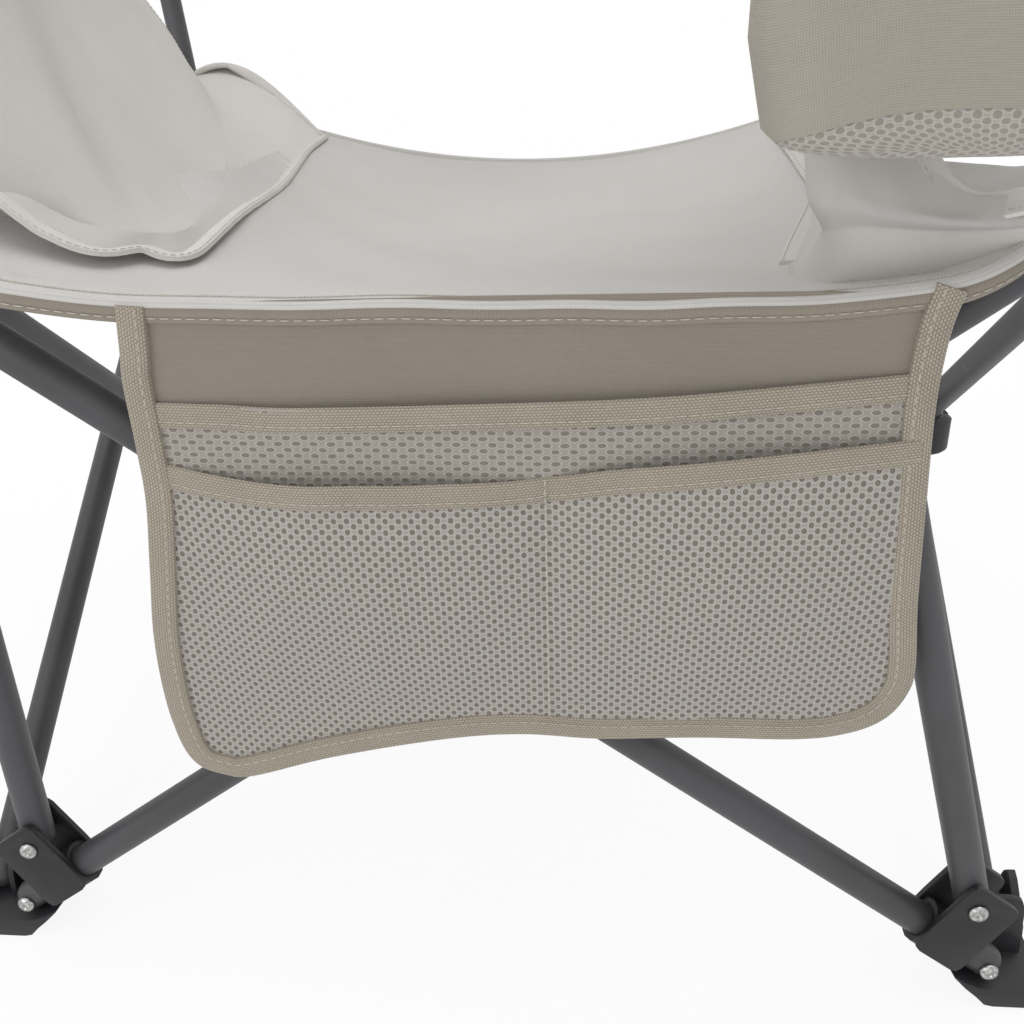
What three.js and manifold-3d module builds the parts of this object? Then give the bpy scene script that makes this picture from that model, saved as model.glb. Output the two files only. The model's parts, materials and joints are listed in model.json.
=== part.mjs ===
// Reclining camping chair: a quad folding frame of steel tubes with a slung cloth seat,
// cloth arms on two front posts, and a cloth back on two uprights that recline.
// Millimetres. X to the right as seen from in front, Y to the rear, Z up.
// The origin is on the floor, in the middle of the four feet.

import * as THREE from 'three';
import { mergeVertices } from 'three/addons/utils/BufferGeometryUtils.js';
import Module from 'manifold-3d';

const wasm = await Module();
wasm.setup();

// Frame sizes
const cornerHalf = 241;            // middle of the chair to a corner's pivots, both ways
const lowPivotHeight = 20;         // floor to the pivots in the feet
const scissorRise = 352;           // low pivots to the seat-level pivots, chair open
const planeSetback = 23;           // corner pivots out to the middle plane of the front and rear scissors
const tubeDiameter = 16;
const tubeWall = 1.2;
const crossingGap = 1;             // between the two tubes of a scissor
const clearance = 0.3;             // between pieces that touch
const runningGap = 0.6;            // beside a tube that turns between two walls
const weldGap = 0.0001;            // corners closer than this are one corner
const overrun = 2;                 // how far a cut runs past what it cuts

// Side scissors: distance of each tube end from the middle of the chair
const rightRisingFoot = 250;
const rightRisingTop = 234;
const rightFallingTop = 256;
const rightFallingFoot = 262;
const leftRisingFoot = 265;
const leftRisingTop = 267;
const leftFallingTop = 250;
const leftFallingFoot = 248;

// Rivets
const rivetShank = 5.6;            // diameter
const rivetHead = 9;               // diameter
const rivetHeadHeight = 2.2;
const headShoulder = 0.55;         // share of the head's radius at which its dome flattens

// Feet
const padHeight = 11.4;
const padReach = 17;               // how far the shoe runs inward of the pivot
const padNose = 17.5;              // height of the inward tip of the shoe
const padMargin = 11;              // shoe beyond the walls, outward
const padCorner = 7;
const padInner = 14;               // shoe beyond the side pivot, inward
const footWall = 3;
const footWallHeight = 47;
const footWallSlope = 6;           // how far the wall widens towards its middle
const soleHollow = 1;              // the sole is this high under the pivot
const soleInset = 4;               // pivot to the flat of the sole, outward
const soleChamfer = 3;
const earThickness = 4;
const earReach = 12.5;             // ear beyond the side pivot, inward
const earBack = 10;                // ear beyond the side pivot, outward, at the least
const earShoulder = 0.6;           // height of the ear's outward edge, as a share of the wall's

// Carriers of the arm posts, clamped on the front scissor tubes near the feet
const carrierStart = 14;           // low pivot to the carrier, along the tube
const carrierEnd = 41;
const carrierWall = 3;
const carrierTop = 37;             // tube axis to the top edge of the carrier's plates
const postPivotAlong = 33.6;       // low pivot to the post's rivet, along the scissor tube
const postPivotAcross = 25.6;      // tube axis to the post's rivet
const carrierFlare = 4;            // how far the plates lean along the tube at their top
const carrierCorner = 4;

// Arm posts
const postLength = 585;
const rightPostLean = 15.5;        // degrees, towards the middle
const capHeight = 22;
const capWall = 1.8;

// Seat-level brackets
const bracketWall = 3;
const bracketReach = 14;           // plate beyond a pivot
const bracketTop = 9;              // pivots to the underside of the top plate
const bracketDrop = 14;            // pivots to the lower edge of the plates
const bracketCorner = 3;
const cheekCorner = 4;
const fewSteps = 2;                // facets of a small rounded corner
const postPlay = 2;                // room beside the post that slides past the front left bracket

// Back uprights
const uprightOut = 279;            // middle of the chair to the upright's pivot
const uprightBehind = 262;         // the same, to the rear
const uprightPivotDrop = 17;       // the upright's pivot below the side tube's
const uprightPlay = 2;             // beside an upright in its bracket, for its lean
const cheekRise = 11;              // bracket cheeks above the upright's pivot
const uprightLength = 565;
const uprightLeanBack = 6;         // degrees
const uprightLeanOut = 6.9;        // degrees

// Pivot hubs of the side scissors
const rightHubRadius = 16.5;
const rightHubDrop = 24;            // crossing down to the hub's lower end; its upper end is level with it
const leftHubRadius = 11;
const leftHubDrop = 12;
const leftHubRise = 11;
const hubChamfer = 3;

// Cloth
const clothThickness = 2.4;
const seatFrontReach = 294;        // middle of the chair to the middle of the front edge
const seatRearReach = 228;
const seatFrontHeight = 348;
const seatRearHeight = 318;
const seatCornerPull = 44;         // how far the front corners lie behind the middle of the front edge
const seatFrontRise = 32;          // middle of the front edge up to its corners
const seatRearRise = 50;
const seatFrontHalf = 133;         // half width between the side seams, in front
const seatRearHalf = 176;
const seatCornerHalf = 226.5;        // half width at the front corners
const seatSag = 14;
const seatShift = 26;              // the front of the cloth sits this far to the right
const seatFlareShare = 0.12;       // share of the seat's depth in which the front corners flare out
const seatSplitShare = 0.563;      // share of the seat's depth at which it folds
const postHole = 19;               // hole in the seat cloth round an arm post
const clothGap = 1.2;              // cloth to what it only passes
const seamGap = 0.4;               // cloth to what it is sewn or fixed to

const armRearHeight = 650;         // floor to the middle of the arm pad at its rear end
const armWidth = 62;
const armPadThickness = 14;
const armPadCrown = 3.5;
const armRearOut = 286;
const armRearBack = 60;            // how far behind the middle the arm ends
const wingBracketBack = 223.5;
const wingBracketOut = 262;
const wingShoulderOut = 204;        // the wing turns up here, just inside the side tube's upper end
const wingShoulderHeight = 384;

const flapTopLeft = -101;
const flapTopRight = 177;
const flapFront = 295.7;
const flapTopRise = 1;             // the flap's top above the seat's front edge
const flapBottomLeft = -116;
const flapBottomRight = 184;
const flapLengthLeft = 217;
const flapLengthRight = 183;
const flapSwing = 8;               // the flap's lower edge hangs this far behind its top
const pocketThickness = 1.6;
const upperPocketDrop = 30;        // the flap's top to the top edge of the upper mesh pocket
const lowerPocketDrop = 59;
const pocketMargin = 9;            // flap's edge to the pockets

const backTopDrop = 33;            // the uprights' tops to the top edge of the cloth
const backBottomHeight = 470;
const backSagBelow = 58;           // at the lower edge
const backSagAbove = 27.7;         // at the top edge
const headrestHeight = 130;
const headrestThickness = 34;
const headrestWidth = 300;

const pouchLeft = 106;
const pouchRight = 236;
const pouchFront = 346;
const pouchDepth = 56;
const pouchBottom = 397;
const pouchHanger = 56;            // height of the panel that hangs the pouch from the arm
const pouchHangerLeft = 58;
const pouchWall = 2;
const pouchMeshHeight = 16;

const strapWidth = 25;
const strapThickness = 2;
const buckleWidth = 34;
const buckleHeight = 30;
const buckleThickness = 4;
const buckleBar = 4;
const buckleCorner = 4;
const strapRows = 44;              // rows of facets along a strap, closest together at the adjuster
const strapCrowding = 0.25;

// Places that follow from the sizes
const tubeRadius = tubeDiameter / 2;
const tubePitch = tubeDiameter + crossingGap;
const outerPlane = cornerHalf + planeSetback + tubePitch / 2;
const innerPlane = cornerHalf + planeSetback - tubePitch / 2;
const highPivotHeight = lowPivotHeight + scissorRise;
const crossingHeight = lowPivotHeight + scissorRise / 2;
const uprightPivotHeight = highPivotHeight - uprightPivotDrop;
const flapTopHeight = seatFrontHeight + flapTopRise;
const flapBottomHeightLeft = flapTopHeight - flapLengthLeft;
const flapBottomHeightRight = flapTopHeight - flapLengthRight;
const scissorAngle = Math.atan2(scissorRise, 2 * cornerHalf);
const degree = Math.PI / 180;
const up = new THREE.Vector3(0, 0, 1);

// Facets
const tubeSides = 14;
const boreSides = 12;
const rivetSides = 8;
const headRoom = rivetHead / 2 / Math.cos(Math.PI / rivetSides) + clearance;
const domeSteps = 2;
const hubSides = 20;

const plastic = () => new THREE.MeshStandardMaterial({ color: 0x23262b, roughness: 0.55, metalness: 0 });
const steel = () => new THREE.MeshStandardMaterial({ color: 0x595a5c, roughness: 0.42, metalness: 0.3 });
const zinc = () => new THREE.MeshStandardMaterial({ color: 0xb9bbb4, roughness: 0.3, metalness: 0.9 });
const cloth = () => new THREE.MeshStandardMaterial({ color: 0xbdb5a8, roughness: 0.95, metalness: 0 });
const net = () => new THREE.MeshStandardMaterial({ color: 0xcfcac2, roughness: 0.95, metalness: 0 });

const vec = (x, y, z) => new THREE.Vector3(x, y, z);
const lerp = THREE.MathUtils.lerp;

// Solids: joining, cutting and placing

function toSolid(geometry) {
  const bare = geometry.index ? geometry.clone() : geometry;
  bare.deleteAttribute('normal');
  bare.deleteAttribute('uv');
  const welded = mergeVertices(bare, weldGap);
  return new wasm.Manifold(new wasm.Mesh({
    numProp: 3,
    vertProperties: new Float32Array(welded.attributes.position.array),
    triVerts: new Uint32Array(welded.index.array),
  }));
}

function toGeometry(solid) {
  const mesh = solid.getMesh();
  const geometry = new THREE.BufferGeometry();
  geometry.setAttribute('position', new THREE.BufferAttribute(new Float32Array(mesh.vertProperties), 3));
  geometry.setIndex(new THREE.BufferAttribute(new Uint32Array(mesh.triVerts), 1));
  geometry.computeVertexNormals();
  return geometry;
}

function moved(geometry, matrix) {
  geometry.applyMatrix4(matrix);
  if (matrix.determinant() < 0) {
    const index = geometry.index ?? mergeVertices(geometry).index;
    for (let i = 0; i < index.count; i += 3) {
      const kept = index.getX(i);
      index.setX(i, index.getX(i + 2));
      index.setX(i + 2, kept);
    }
  }
  return geometry;
}

const joined = (solids) => solids.reduce((sum, next) => sum.add(next));
const cut = (solid, tools) => tools.reduce((left, tool) => left.subtract(tool), solid);

// A frame whose Z runs from one point to another
function along(from, to) {
  const turn = new THREE.Quaternion().setFromUnitVectors(up, to.clone().sub(from).normalize());
  return new THREE.Matrix4().compose(from, turn, vec(1, 1, 1));
}

function rod(from, to, radius, sides = boreSides) {
  const length = from.distanceTo(to);
  const geometry = new THREE.CylinderGeometry(radius, radius, length, sides);
  geometry.rotateX(Math.PI / 2);
  geometry.translate(0, 0, length / 2);
  return toSolid(geometry.applyMatrix4(along(from, to)));
}

// A flat plate with an outline in one plane, from one depth to another across it
const planes = {
  xz: new THREE.Matrix4().makeBasis(vec(1, 0, 0), vec(0, 0, 1), vec(0, -1, 0)),
  yz: new THREE.Matrix4().makeBasis(vec(0, 1, 0), vec(0, 0, 1), vec(1, 0, 0)),
  xy: new THREE.Matrix4(),
};

function plate(plane, outline, from, to) {
  const shape = new THREE.Shape(outline.map(([a, b]) => new THREE.Vector2(a, b)));
  const low = Math.min(from, to);
  const high = Math.max(from, to);
  const geometry = new THREE.ExtrudeGeometry(shape, { depth: high - low, bevelEnabled: false });
  geometry.translate(0, 0, plane === 'xz' ? -high : low);
  return toSolid(geometry.applyMatrix4(planes[plane]));
}

// An outline with its corners rounded by arcs
function rounded(points, radius, steps = 2) {
  const out = [];
  points.forEach((point, i) => {
    const here = new THREE.Vector2(...point);
    const before = new THREE.Vector2(...points.at(i - 1));
    const after = new THREE.Vector2(...points[(i + 1) % points.length]);
    const back = Math.min(radius, here.distanceTo(before) / 2);
    const ahead = Math.min(radius, here.distanceTo(after) / 2);
    const start = here.clone().add(before.sub(here).setLength(back));
    const end = here.clone().add(after.sub(here).setLength(ahead));
    const curve = new THREE.QuadraticBezierCurve(start, here, end);
    curve.getPoints(steps).forEach((p) => out.push([p.x, p.y]));
  });
  return out;
}

const group = new THREE.Group();

function place(name, solid, material) {
  const mesh = new THREE.Mesh(solid.getMesh ? toGeometry(solid) : solid, material());
  mesh.name = name;
  group.add(mesh);
  return mesh;
}

// Tubes: hollow, with closed rounded ends and a drilled hole at each rivet

function tubeBody(length, radius, wall) {
  const outline = [];
  for (let i = 0; i <= domeSteps; i += 1) {
    const turn = (i / domeSteps) * Math.PI / 2;
    outline.push(new THREE.Vector2(radius * Math.sin(turn), -radius * Math.cos(turn)));
  }
  for (let i = 0; i <= domeSteps; i += 1) {
    const turn = (i / domeSteps) * Math.PI / 2;
    outline.push(new THREE.Vector2(radius * Math.cos(turn), length + radius * Math.sin(turn)));
  }
  const skin = new THREE.LatheGeometry(outline, tubeSides);
  skin.rotateX(Math.PI / 2);
  const bore = new THREE.CylinderGeometry(radius - wall, radius - wall, length, tubeSides);
  bore.rotateX(Math.PI / 2);
  bore.translate(0, 0, length / 2);
  return toSolid(skin).subtract(toSolid(bore));
}

function drilledTube(from, to, holes) {
  const length = from.distanceTo(to);
  const body = toSolid(toGeometry(tubeBody(length, tubeRadius, tubeWall)).applyMatrix4(along(from, to)));
  const drills = holes.map(({ at, axis }) => {
    const reach = axis.clone().multiplyScalar(tubeDiameter);
    return rod(at.clone().sub(reach), at.clone().add(reach), rivetShank / 2 + clearance, rivetSides);
  });
  return cut(body, drills);
}

// A pin set fast in a wall, with its free end flush inside a tube
function pin(from, to) {
  return rod(from, to, rivetShank / 2, rivetSides);
}

// A rivet with a domed head at both ends; from and to are the faces that the heads sit on
function rivet(from, to) {
  const span = from.distanceTo(to) + 2 * clearance;
  const shank = rivetShank / 2;
  const head = rivetHead / 2;
  const flat = head * headShoulder;
  const rim = rivetHeadHeight / 4;
  const dome = rivetHeadHeight - rim / 2;
  const tail = [[0, -rivetHeadHeight], [flat, -dome], [head, -rim], [head, 0], [shank, 0]];
  const top = tail.map(([out, z]) => [out, span - z]).reverse();
  const outline = [...tail, ...top];
  const geometry = new THREE.LatheGeometry(outline.map(([a, b]) => new THREE.Vector2(a, b)), rivetSides);
  geometry.rotateX(Math.PI / 2);
  geometry.translate(0, 0, -clearance);
  return toSolid(geometry.applyMatrix4(along(from, to)));
}

const acrossX = vec(1, 0, 0);
const acrossY = vec(0, 1, 0);

// Scissor tubes, each from its low pivot to its high pivot
const scissors = {
  front_a: { low: [cornerHalf, -outerPlane], high: [-cornerHalf, -outerPlane], axis: acrossY },
  front_b: { low: [-cornerHalf, -innerPlane], high: [cornerHalf, -innerPlane], axis: acrossY },
  rear_a: { low: [cornerHalf, innerPlane], high: [-cornerHalf, innerPlane], axis: acrossY },
  rear_b: { low: [-cornerHalf, outerPlane], high: [cornerHalf, outerPlane], axis: acrossY },
  right_a: { low: [rightRisingFoot, -cornerHalf], high: [rightRisingTop, cornerHalf], axis: acrossX },
  right_b: { low: [rightFallingFoot, cornerHalf], high: [rightFallingTop, -cornerHalf], axis: acrossX },
  left_a: { low: [-leftRisingFoot, -cornerHalf], high: [-leftRisingTop, cornerHalf], axis: acrossX },
  left_b: { low: [-leftFallingFoot, cornerHalf], high: [-leftFallingTop, -cornerHalf], axis: acrossX },
};

for (const [name, { low, high, axis }] of Object.entries(scissors)) {
  const from = vec(...low, lowPivotHeight);
  const to = vec(...high, highPivotHeight);
  const middle = from.clone().lerp(to, 0.5);
  const holes = [from, middle, to].map((at) => ({ at, axis }));
  place(`x_tube_${name}`, drilledTube(from, to, holes), steel);
}

// Corners: each is worked out as if at the front right, with u inward along X and v inward along Y
// from the corner's pivots, and then mirrored to its place.
const corners = {
  front_right: { sx: 1, sy: -1, plane: outerPlane, side: rightRisingFoot },
  front_left: { sx: -1, sy: -1, plane: innerPlane, side: leftRisingFoot },
  rear_right: { sx: 1, sy: 1, plane: innerPlane, side: rightFallingFoot },
  rear_left: { sx: -1, sy: 1, plane: outerPlane, side: leftFallingFoot },
};

function cornerMatrix({ sx, sy }) {
  return new THREE.Matrix4().set(
    -sx, 0, 0, sx * cornerHalf,
    0, -sy, 0, sy * cornerHalf,
    0, 0, 1, 0,
    0, 0, 0, 1,
  );
}

const inCorner = (solid, corner) => toSolid(moved(toGeometry(solid), cornerMatrix(corner)));
const cornerPoint = ({ sx, sy }, u, v, z) => vec(sx * (cornerHalf - u), sy * (cornerHalf - v), z);

// Feet: a moulded shoe with one wall for the front or rear tube and two ears for the side tube.
// The side tube's pin is fast in the ears and is one piece with the foot.

function footSolid(tubeV, tubeU) {
  const wallStart = tubeV + tubeRadius + carrierWall + runningGap;
  const wallEnd = wallStart + footWall;
  const earInner = tubeU + tubeRadius + runningGap;
  const earOuter = tubeU - tubeRadius - runningGap;
  const outer = earOuter - earThickness - padMargin / 2;
  const padFront = tubeV - padMargin;
  const profile = [[padReach, padNose], [padReach / 4, padHeight / 2], [0, soleHollow], [-soleInset, 0],
    [outer + soleChamfer, 0], [outer, soleChamfer], [outer, padHeight], [soleChamfer, padHeight]];
  const planOutline = [[outer, padFront], [padReach, padFront], [padReach, padInner], [outer, padInner]];
  const plan = rounded(planOutline, padCorner);
  const pad = plate('xz', profile, padFront, padInner)
    .intersect(plate('xy', plan, -overrun, padNose + overrun));
  const earStart = Math.min(wallStart, -earBack);
  const wallLeft = earOuter - earThickness;
  const wallInnerLimit = earStart < wallStart ? earInner : wallLeft;
  const wallOutline = rounded([[wallInnerLimit, padHeight / 2], [padReach, padHeight],
    [padReach + footWallSlope, footWallHeight / 2], [padReach / 2, footWallHeight],
    [wallInnerLimit + footWallSlope / 3, footWallHeight]], padCorner);
  const wall = plate('xz', wallOutline, wallStart, wallEnd);
  const earOutline = rounded([[earStart, padHeight / 2], [earReach, padHeight / 2],
    [earReach, footWallHeight / 2], [earReach / 4, footWallHeight],
    [earStart, footWallHeight * earShoulder]], padCorner);
  const ears = [[earInner, earInner + footWall], [wallLeft, earOuter]]
    .map(([from, to]) => plate('yz', earOutline, from, to));
  const hole = rivetShank / 2 + clearance;
  const onAxis = (v) => vec(0, v, lowPivotHeight);
  const drill = rod(onAxis(padFront), onAxis(wallEnd + overrun), hole, rivetSides);
  const tailEnd = wallEnd + rivetHeadHeight + 2 * clearance;
  const tailRoom = rod(onAxis(wallEnd), onAxis(tailEnd), headRoom, rivetSides);
  const pin = rivet(vec(wallLeft, 0, lowPivotHeight), vec(earInner + footWall, 0, lowPivotHeight));
  return { solid: joined([cut(joined([pad, wall, ...ears]), [drill, tailRoom]), pin]), wallEnd };
}

for (const [name, corner] of Object.entries(corners)) {
  const tubeV = cornerHalf - corner.plane;
  const tubeU = cornerHalf - corner.side;
  const foot = footSolid(tubeV, tubeU);
  place(`foot_${name}`, inCorner(foot.solid, corner), plastic);
  const ends = [tubeV - tubeRadius, foot.wallEnd].map((v) => cornerPoint(corner, 0, v, lowPivotHeight));
  place(`foot_rivet_${name}`, rivet(...ends), zinc);
}

// Post carriers: moulded clamps round the two front scissor tubes, with two plates that hold an arm post

function carrierSolid() {
  const ring = tubeRadius + clearance + carrierWall;
  const plateGap = tubeRadius + runningGap / 2 + clearance / 2;
  const shell = rod(vec(carrierStart, 0, 0), vec(carrierEnd, 0, 0), ring, tubeSides);
  const belly = tubeRadius + clearance;
  const outline = rounded([[carrierStart, -belly], [carrierStart + carrierFlare, carrierTop],
    [carrierEnd + carrierFlare, carrierTop], [carrierEnd + carrierFlare / 2, belly], [carrierEnd, -belly]],
  carrierCorner);
  const sides = [[plateGap, plateGap + carrierWall], [-plateGap - carrierWall, -plateGap]]
    .map(([from, to]) => plate('xz', outline, from, to));
  const hole = rivetShank / 2 + clearance;
  const bore = [carrierStart - overrun, carrierEnd + carrierFlare + overrun].map((along) => vec(along, 0, 0));
  const beyond = ring + overrun;
  const rivetEnds = [-beyond, beyond].map((side) => vec(postPivotAlong, side, postPivotAcross));
  const drills = [rod(...bore, belly, tubeSides), rod(...rivetEnds, hole, rivetSides)];
  return { solid: cut(joined([shell, ...sides]), drills), face: plateGap + carrierWall };
}

const posts = {
  right: { sx: 1, plane: outerPlane, lean: rightPostLean },
  left: { sx: -1, plane: innerPlane, lean: 0 },
};

const inward = Math.cos(scissorAngle);
const upward = Math.sin(scissorAngle);
const postPivotIn = postPivotAlong * inward - postPivotAcross * upward;
const postPivotHeight = lowPivotHeight + postPivotAlong * upward + postPivotAcross * inward;

for (const [name, post] of Object.entries(posts)) {
  const carrier = carrierSolid();
  const turned = new THREE.Matrix4().makeBasis(
    vec(-post.sx * inward, 0, upward),
    vec(0, post.sx, 0),
    vec(post.sx * upward, 0, inward),
  );
  turned.setPosition(post.sx * cornerHalf, -post.plane, lowPivotHeight);
  place(`post_carrier_${name}`, toSolid(moved(toGeometry(carrier.solid), turned)), plastic);

  post.pivot = vec(post.sx * (cornerHalf - postPivotIn), -post.plane, postPivotHeight);
  post.direction = vec(-post.sx * Math.sin(post.lean * degree), 0, Math.cos(post.lean * degree));
  post.top = post.pivot.clone().addScaledVector(post.direction, postLength);
  place(`arm_post_${name}`, drilledTube(post.pivot, post.top, [{ at: post.pivot, axis: acrossY }]), steel);
  const capTop = tubeRadius + 2 * clearance + capWall;
  post.armLevel = post.top.z + capTop + seamGap + armPadThickness / 2 - armPadCrown;
  place(`arm_post_cap_${name}`, capSolid(post.top, post.direction), plastic);
  const face = acrossY.clone().multiplyScalar(carrier.face);
  place(`rivet_post_${name}`, rivet(post.pivot.clone().sub(face), post.pivot.clone().add(face)), zinc);
}

// Caps: moulded cups pushed over the upper end of a tube
function capSolid(top, direction) {
  const inner = tubeRadius + 2 * clearance;
  const outer = inner + capWall;
  const dome = (radius) => [...Array(domeSteps + 1).keys()].map((i) => {
    const turn = (i / domeSteps) * Math.PI / 2;
    return new THREE.Vector2(radius * Math.sin(turn), radius * Math.cos(turn));
  });
  const rim = [new THREE.Vector2(inner, -capHeight), new THREE.Vector2(outer, -capHeight)];
  const geometry = new THREE.LatheGeometry([...dome(inner), ...rim, ...dome(outer).reverse()], tubeSides);
  geometry.rotateX(Math.PI / 2);
  return toSolid(geometry.applyMatrix4(along(top, top.clone().add(direction))));
}

// Seat-level brackets: angle pieces that hold the upper ends of one front or rear tube and one side tube.
// Their two pins are fast in them and end flush in the tubes; the uprights turn on rivets of their own.

const brackets = {
  front_left: { sx: -1, sy: -1, plane: outerPlane, side: leftFallingTop, frontPlate: true, outerEar: true },
  front_right: { sx: 1, sy: -1, plane: innerPlane, side: rightFallingTop },
  rear_left: { sx: -1, sy: 1, plane: innerPlane, side: leftRisingTop, upright: true },
  rear_right: { sx: 1, sy: 1, plane: outerPlane, side: rightRisingTop, outerEar: true, upright: true },
};

function bracketPlates(bracket) {
  const tubeV = cornerHalf - bracket.plane;
  const tubeU = cornerHalf - bracket.side;
  const beside = tubeRadius + runningGap;
  const plateV = bracket.frontPlate ? tubeV - beside - bracketWall : tubeV + beside;
  const earU = bracket.outerEar ? tubeU - beside - bracketWall : tubeU + beside;
  return { tubeV, tubeU, plateV, earU };
}

function bracketSolid(bracket) {
  const { tubeV, tubeU, plateV, earU } = bracketPlates(bracket);
  const low = highPivotHeight - bracketDrop;
  const high = highPivotHeight + bracketTop + bracketWall;
  const eased = (outline) => rounded(outline, bracketCorner, fewSteps);
  const plateOutline = eased([[earU, low], [bracketReach, low], [bracketReach, high], [earU, high]]);
  const solids = [plate('xz', plateOutline, plateV, plateV + bracketWall)];
  const topOutline = [[earU, plateV], [bracketReach, plateV], [bracketReach, bracketReach],
    [earU, bracketReach]];
  solids.push(plate('xy', topOutline, high - bracketWall, high));
  const wallV = -tubeRadius - runningGap - bracketWall;
  const earStart = bracket.upright ? Math.min(plateV, wallV) : plateV;
  const earOutline = eased([[earStart, low], [bracketReach, low], [bracketReach, high], [earStart, high]]);
  solids.push(plate('yz', earOutline, earU, earU + bracketWall));
  const drills = [];
  if (bracket.upright) {
    const uprightU = cornerHalf - uprightOut;
    const uprightV = cornerHalf - uprightBehind;
    const beside = tubeRadius + uprightPlay;
    const outer = uprightU - beside - bracketWall;
    const inner = uprightU + beside + bracketWall;
    const sole = uprightPivotHeight - bracketDrop;
    const back = uprightV - bracketReach;
    const face = wallV + bracketWall;
    const cheekTop = uprightPivotHeight + cheekRise;
    const cheek = rounded([[back, sole], [face, sole], [face, cheekTop], [back, cheekTop]], cheekCorner);
    solids.push(plate('yz', cheek, outer, outer + bracketWall));
    solids.push(plate('yz', cheek, inner - bracketWall, inner));
    const floor = [[outer, back], [inner, back], [inner, face], [outer, face]];
    solids.push(plate('xy', floor, sole - bracketWall, sole + clearance));
    const wall = [[outer, sole], [inner, sole], [earU + bracketWall, low], [earU + bracketWall, high],
      [inner, high], [outer, cheekTop]];
    solids.push(plate('xz', wall, wallV, wallV + bracketWall));
    const ends = [outer - overrun, inner + overrun].map((u) => vec(u, uprightV, uprightPivotHeight));
    drills.push(rod(...ends, rivetShank / 2 + clearance, rivetSides));
  }
  if (bracket.frontPlate) {
    const postV = cornerHalf - innerPlane;
    const side = tubeRadius + runningGap;
    const start = postPivotIn - side - postPlay;
    const passage = [[start, postV - side], [bracketReach + overrun, postV - side],
      [bracketReach + overrun, postV + side], [start, postV + side]];
    drills.push(plate('xy', passage, low, high + overrun));
  }
  const flush = tubeRadius - clearance;
  const tubeFaces = [
    bracket.frontPlate ? tubeV + flush : tubeV - flush,
    bracket.outerEar ? tubeU + flush : tubeU - flush,
  ];
  const walls = [plateV, earU].map((wall) => wall + bracketWall / 2);
  const pins = [
    pin(vec(0, walls[0], highPivotHeight), vec(0, tubeFaces[0], highPivotHeight)),
    pin(vec(walls[1], 0, highPivotHeight), vec(tubeFaces[1], 0, highPivotHeight)),
  ];
  return joined([cut(joined(solids), drills), ...pins]);
}

for (const [name, bracket] of Object.entries(brackets)) {
  place(`seat_bracket_${name}`, inCorner(bracketSolid(bracket), bracket), plastic);
  if (bracket.upright) {
    const reach = tubeRadius + uprightPlay + bracketWall;
    const cheeks = [-reach, reach].map((u) => cornerHalf - uprightOut + u);
    const ends = cheeks.map((u) => cornerPoint(bracket, u, cornerHalf - uprightBehind, uprightPivotHeight));
    place(`upright_rivet_${name}`, rivet(...ends), zinc);
  }
}

// Back uprights
const uprights = {};
for (const [name, sx] of [['left', -1], ['right', 1]]) {
  const pivot = vec(sx * uprightOut, uprightBehind, uprightPivotHeight);
  const outward = Math.tan(uprightLeanOut * degree);
  const backward = Math.tan(uprightLeanBack * degree);
  const direction = vec(sx * outward, backward, 1).normalize();
  const top = pivot.clone().addScaledVector(direction, uprightLength);
  uprights[name] = { pivot, direction, top };
  place(`back_upright_${name}`, drilledTube(pivot, top, [{ at: pivot, axis: acrossX }]), steel);
  place(`back_upright_cap_${name}`, capSolid(top, direction), plastic);
}

// Crossing rivets of the four scissors, and the moulded hubs on the outer tubes of the side scissors
for (const [name, sign] of [['front', -1], ['rear', 1]]) {
  const far = vec(0, sign * (outerPlane + tubeRadius), crossingHeight);
  const near = vec(0, sign * (innerPlane - tubeRadius), crossingHeight);
  place(`crossing_rivet_${name}`, rivet(far, near), zinc);
}

const sideCrossings = {
  right: {
    sx: 1,
    outer: (rightFallingFoot + rightFallingTop) / 2,
    inner: (rightRisingFoot + rightRisingTop) / 2,
    radius: rightHubRadius,
    bottom: crossingHeight - rightHubDrop,
    top: crossingHeight,
    opensUp: true,
    tube: scissors.right_b,
  },
  left: {
    sx: -1,
    outer: (leftRisingFoot + leftRisingTop) / 2,
    inner: (leftFallingFoot + leftFallingTop) / 2,
    radius: leftHubRadius,
    bottom: crossingHeight - leftHubDrop,
    top: crossingHeight + leftHubRise,
    tube: scissors.left_a,
  },
};

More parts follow.
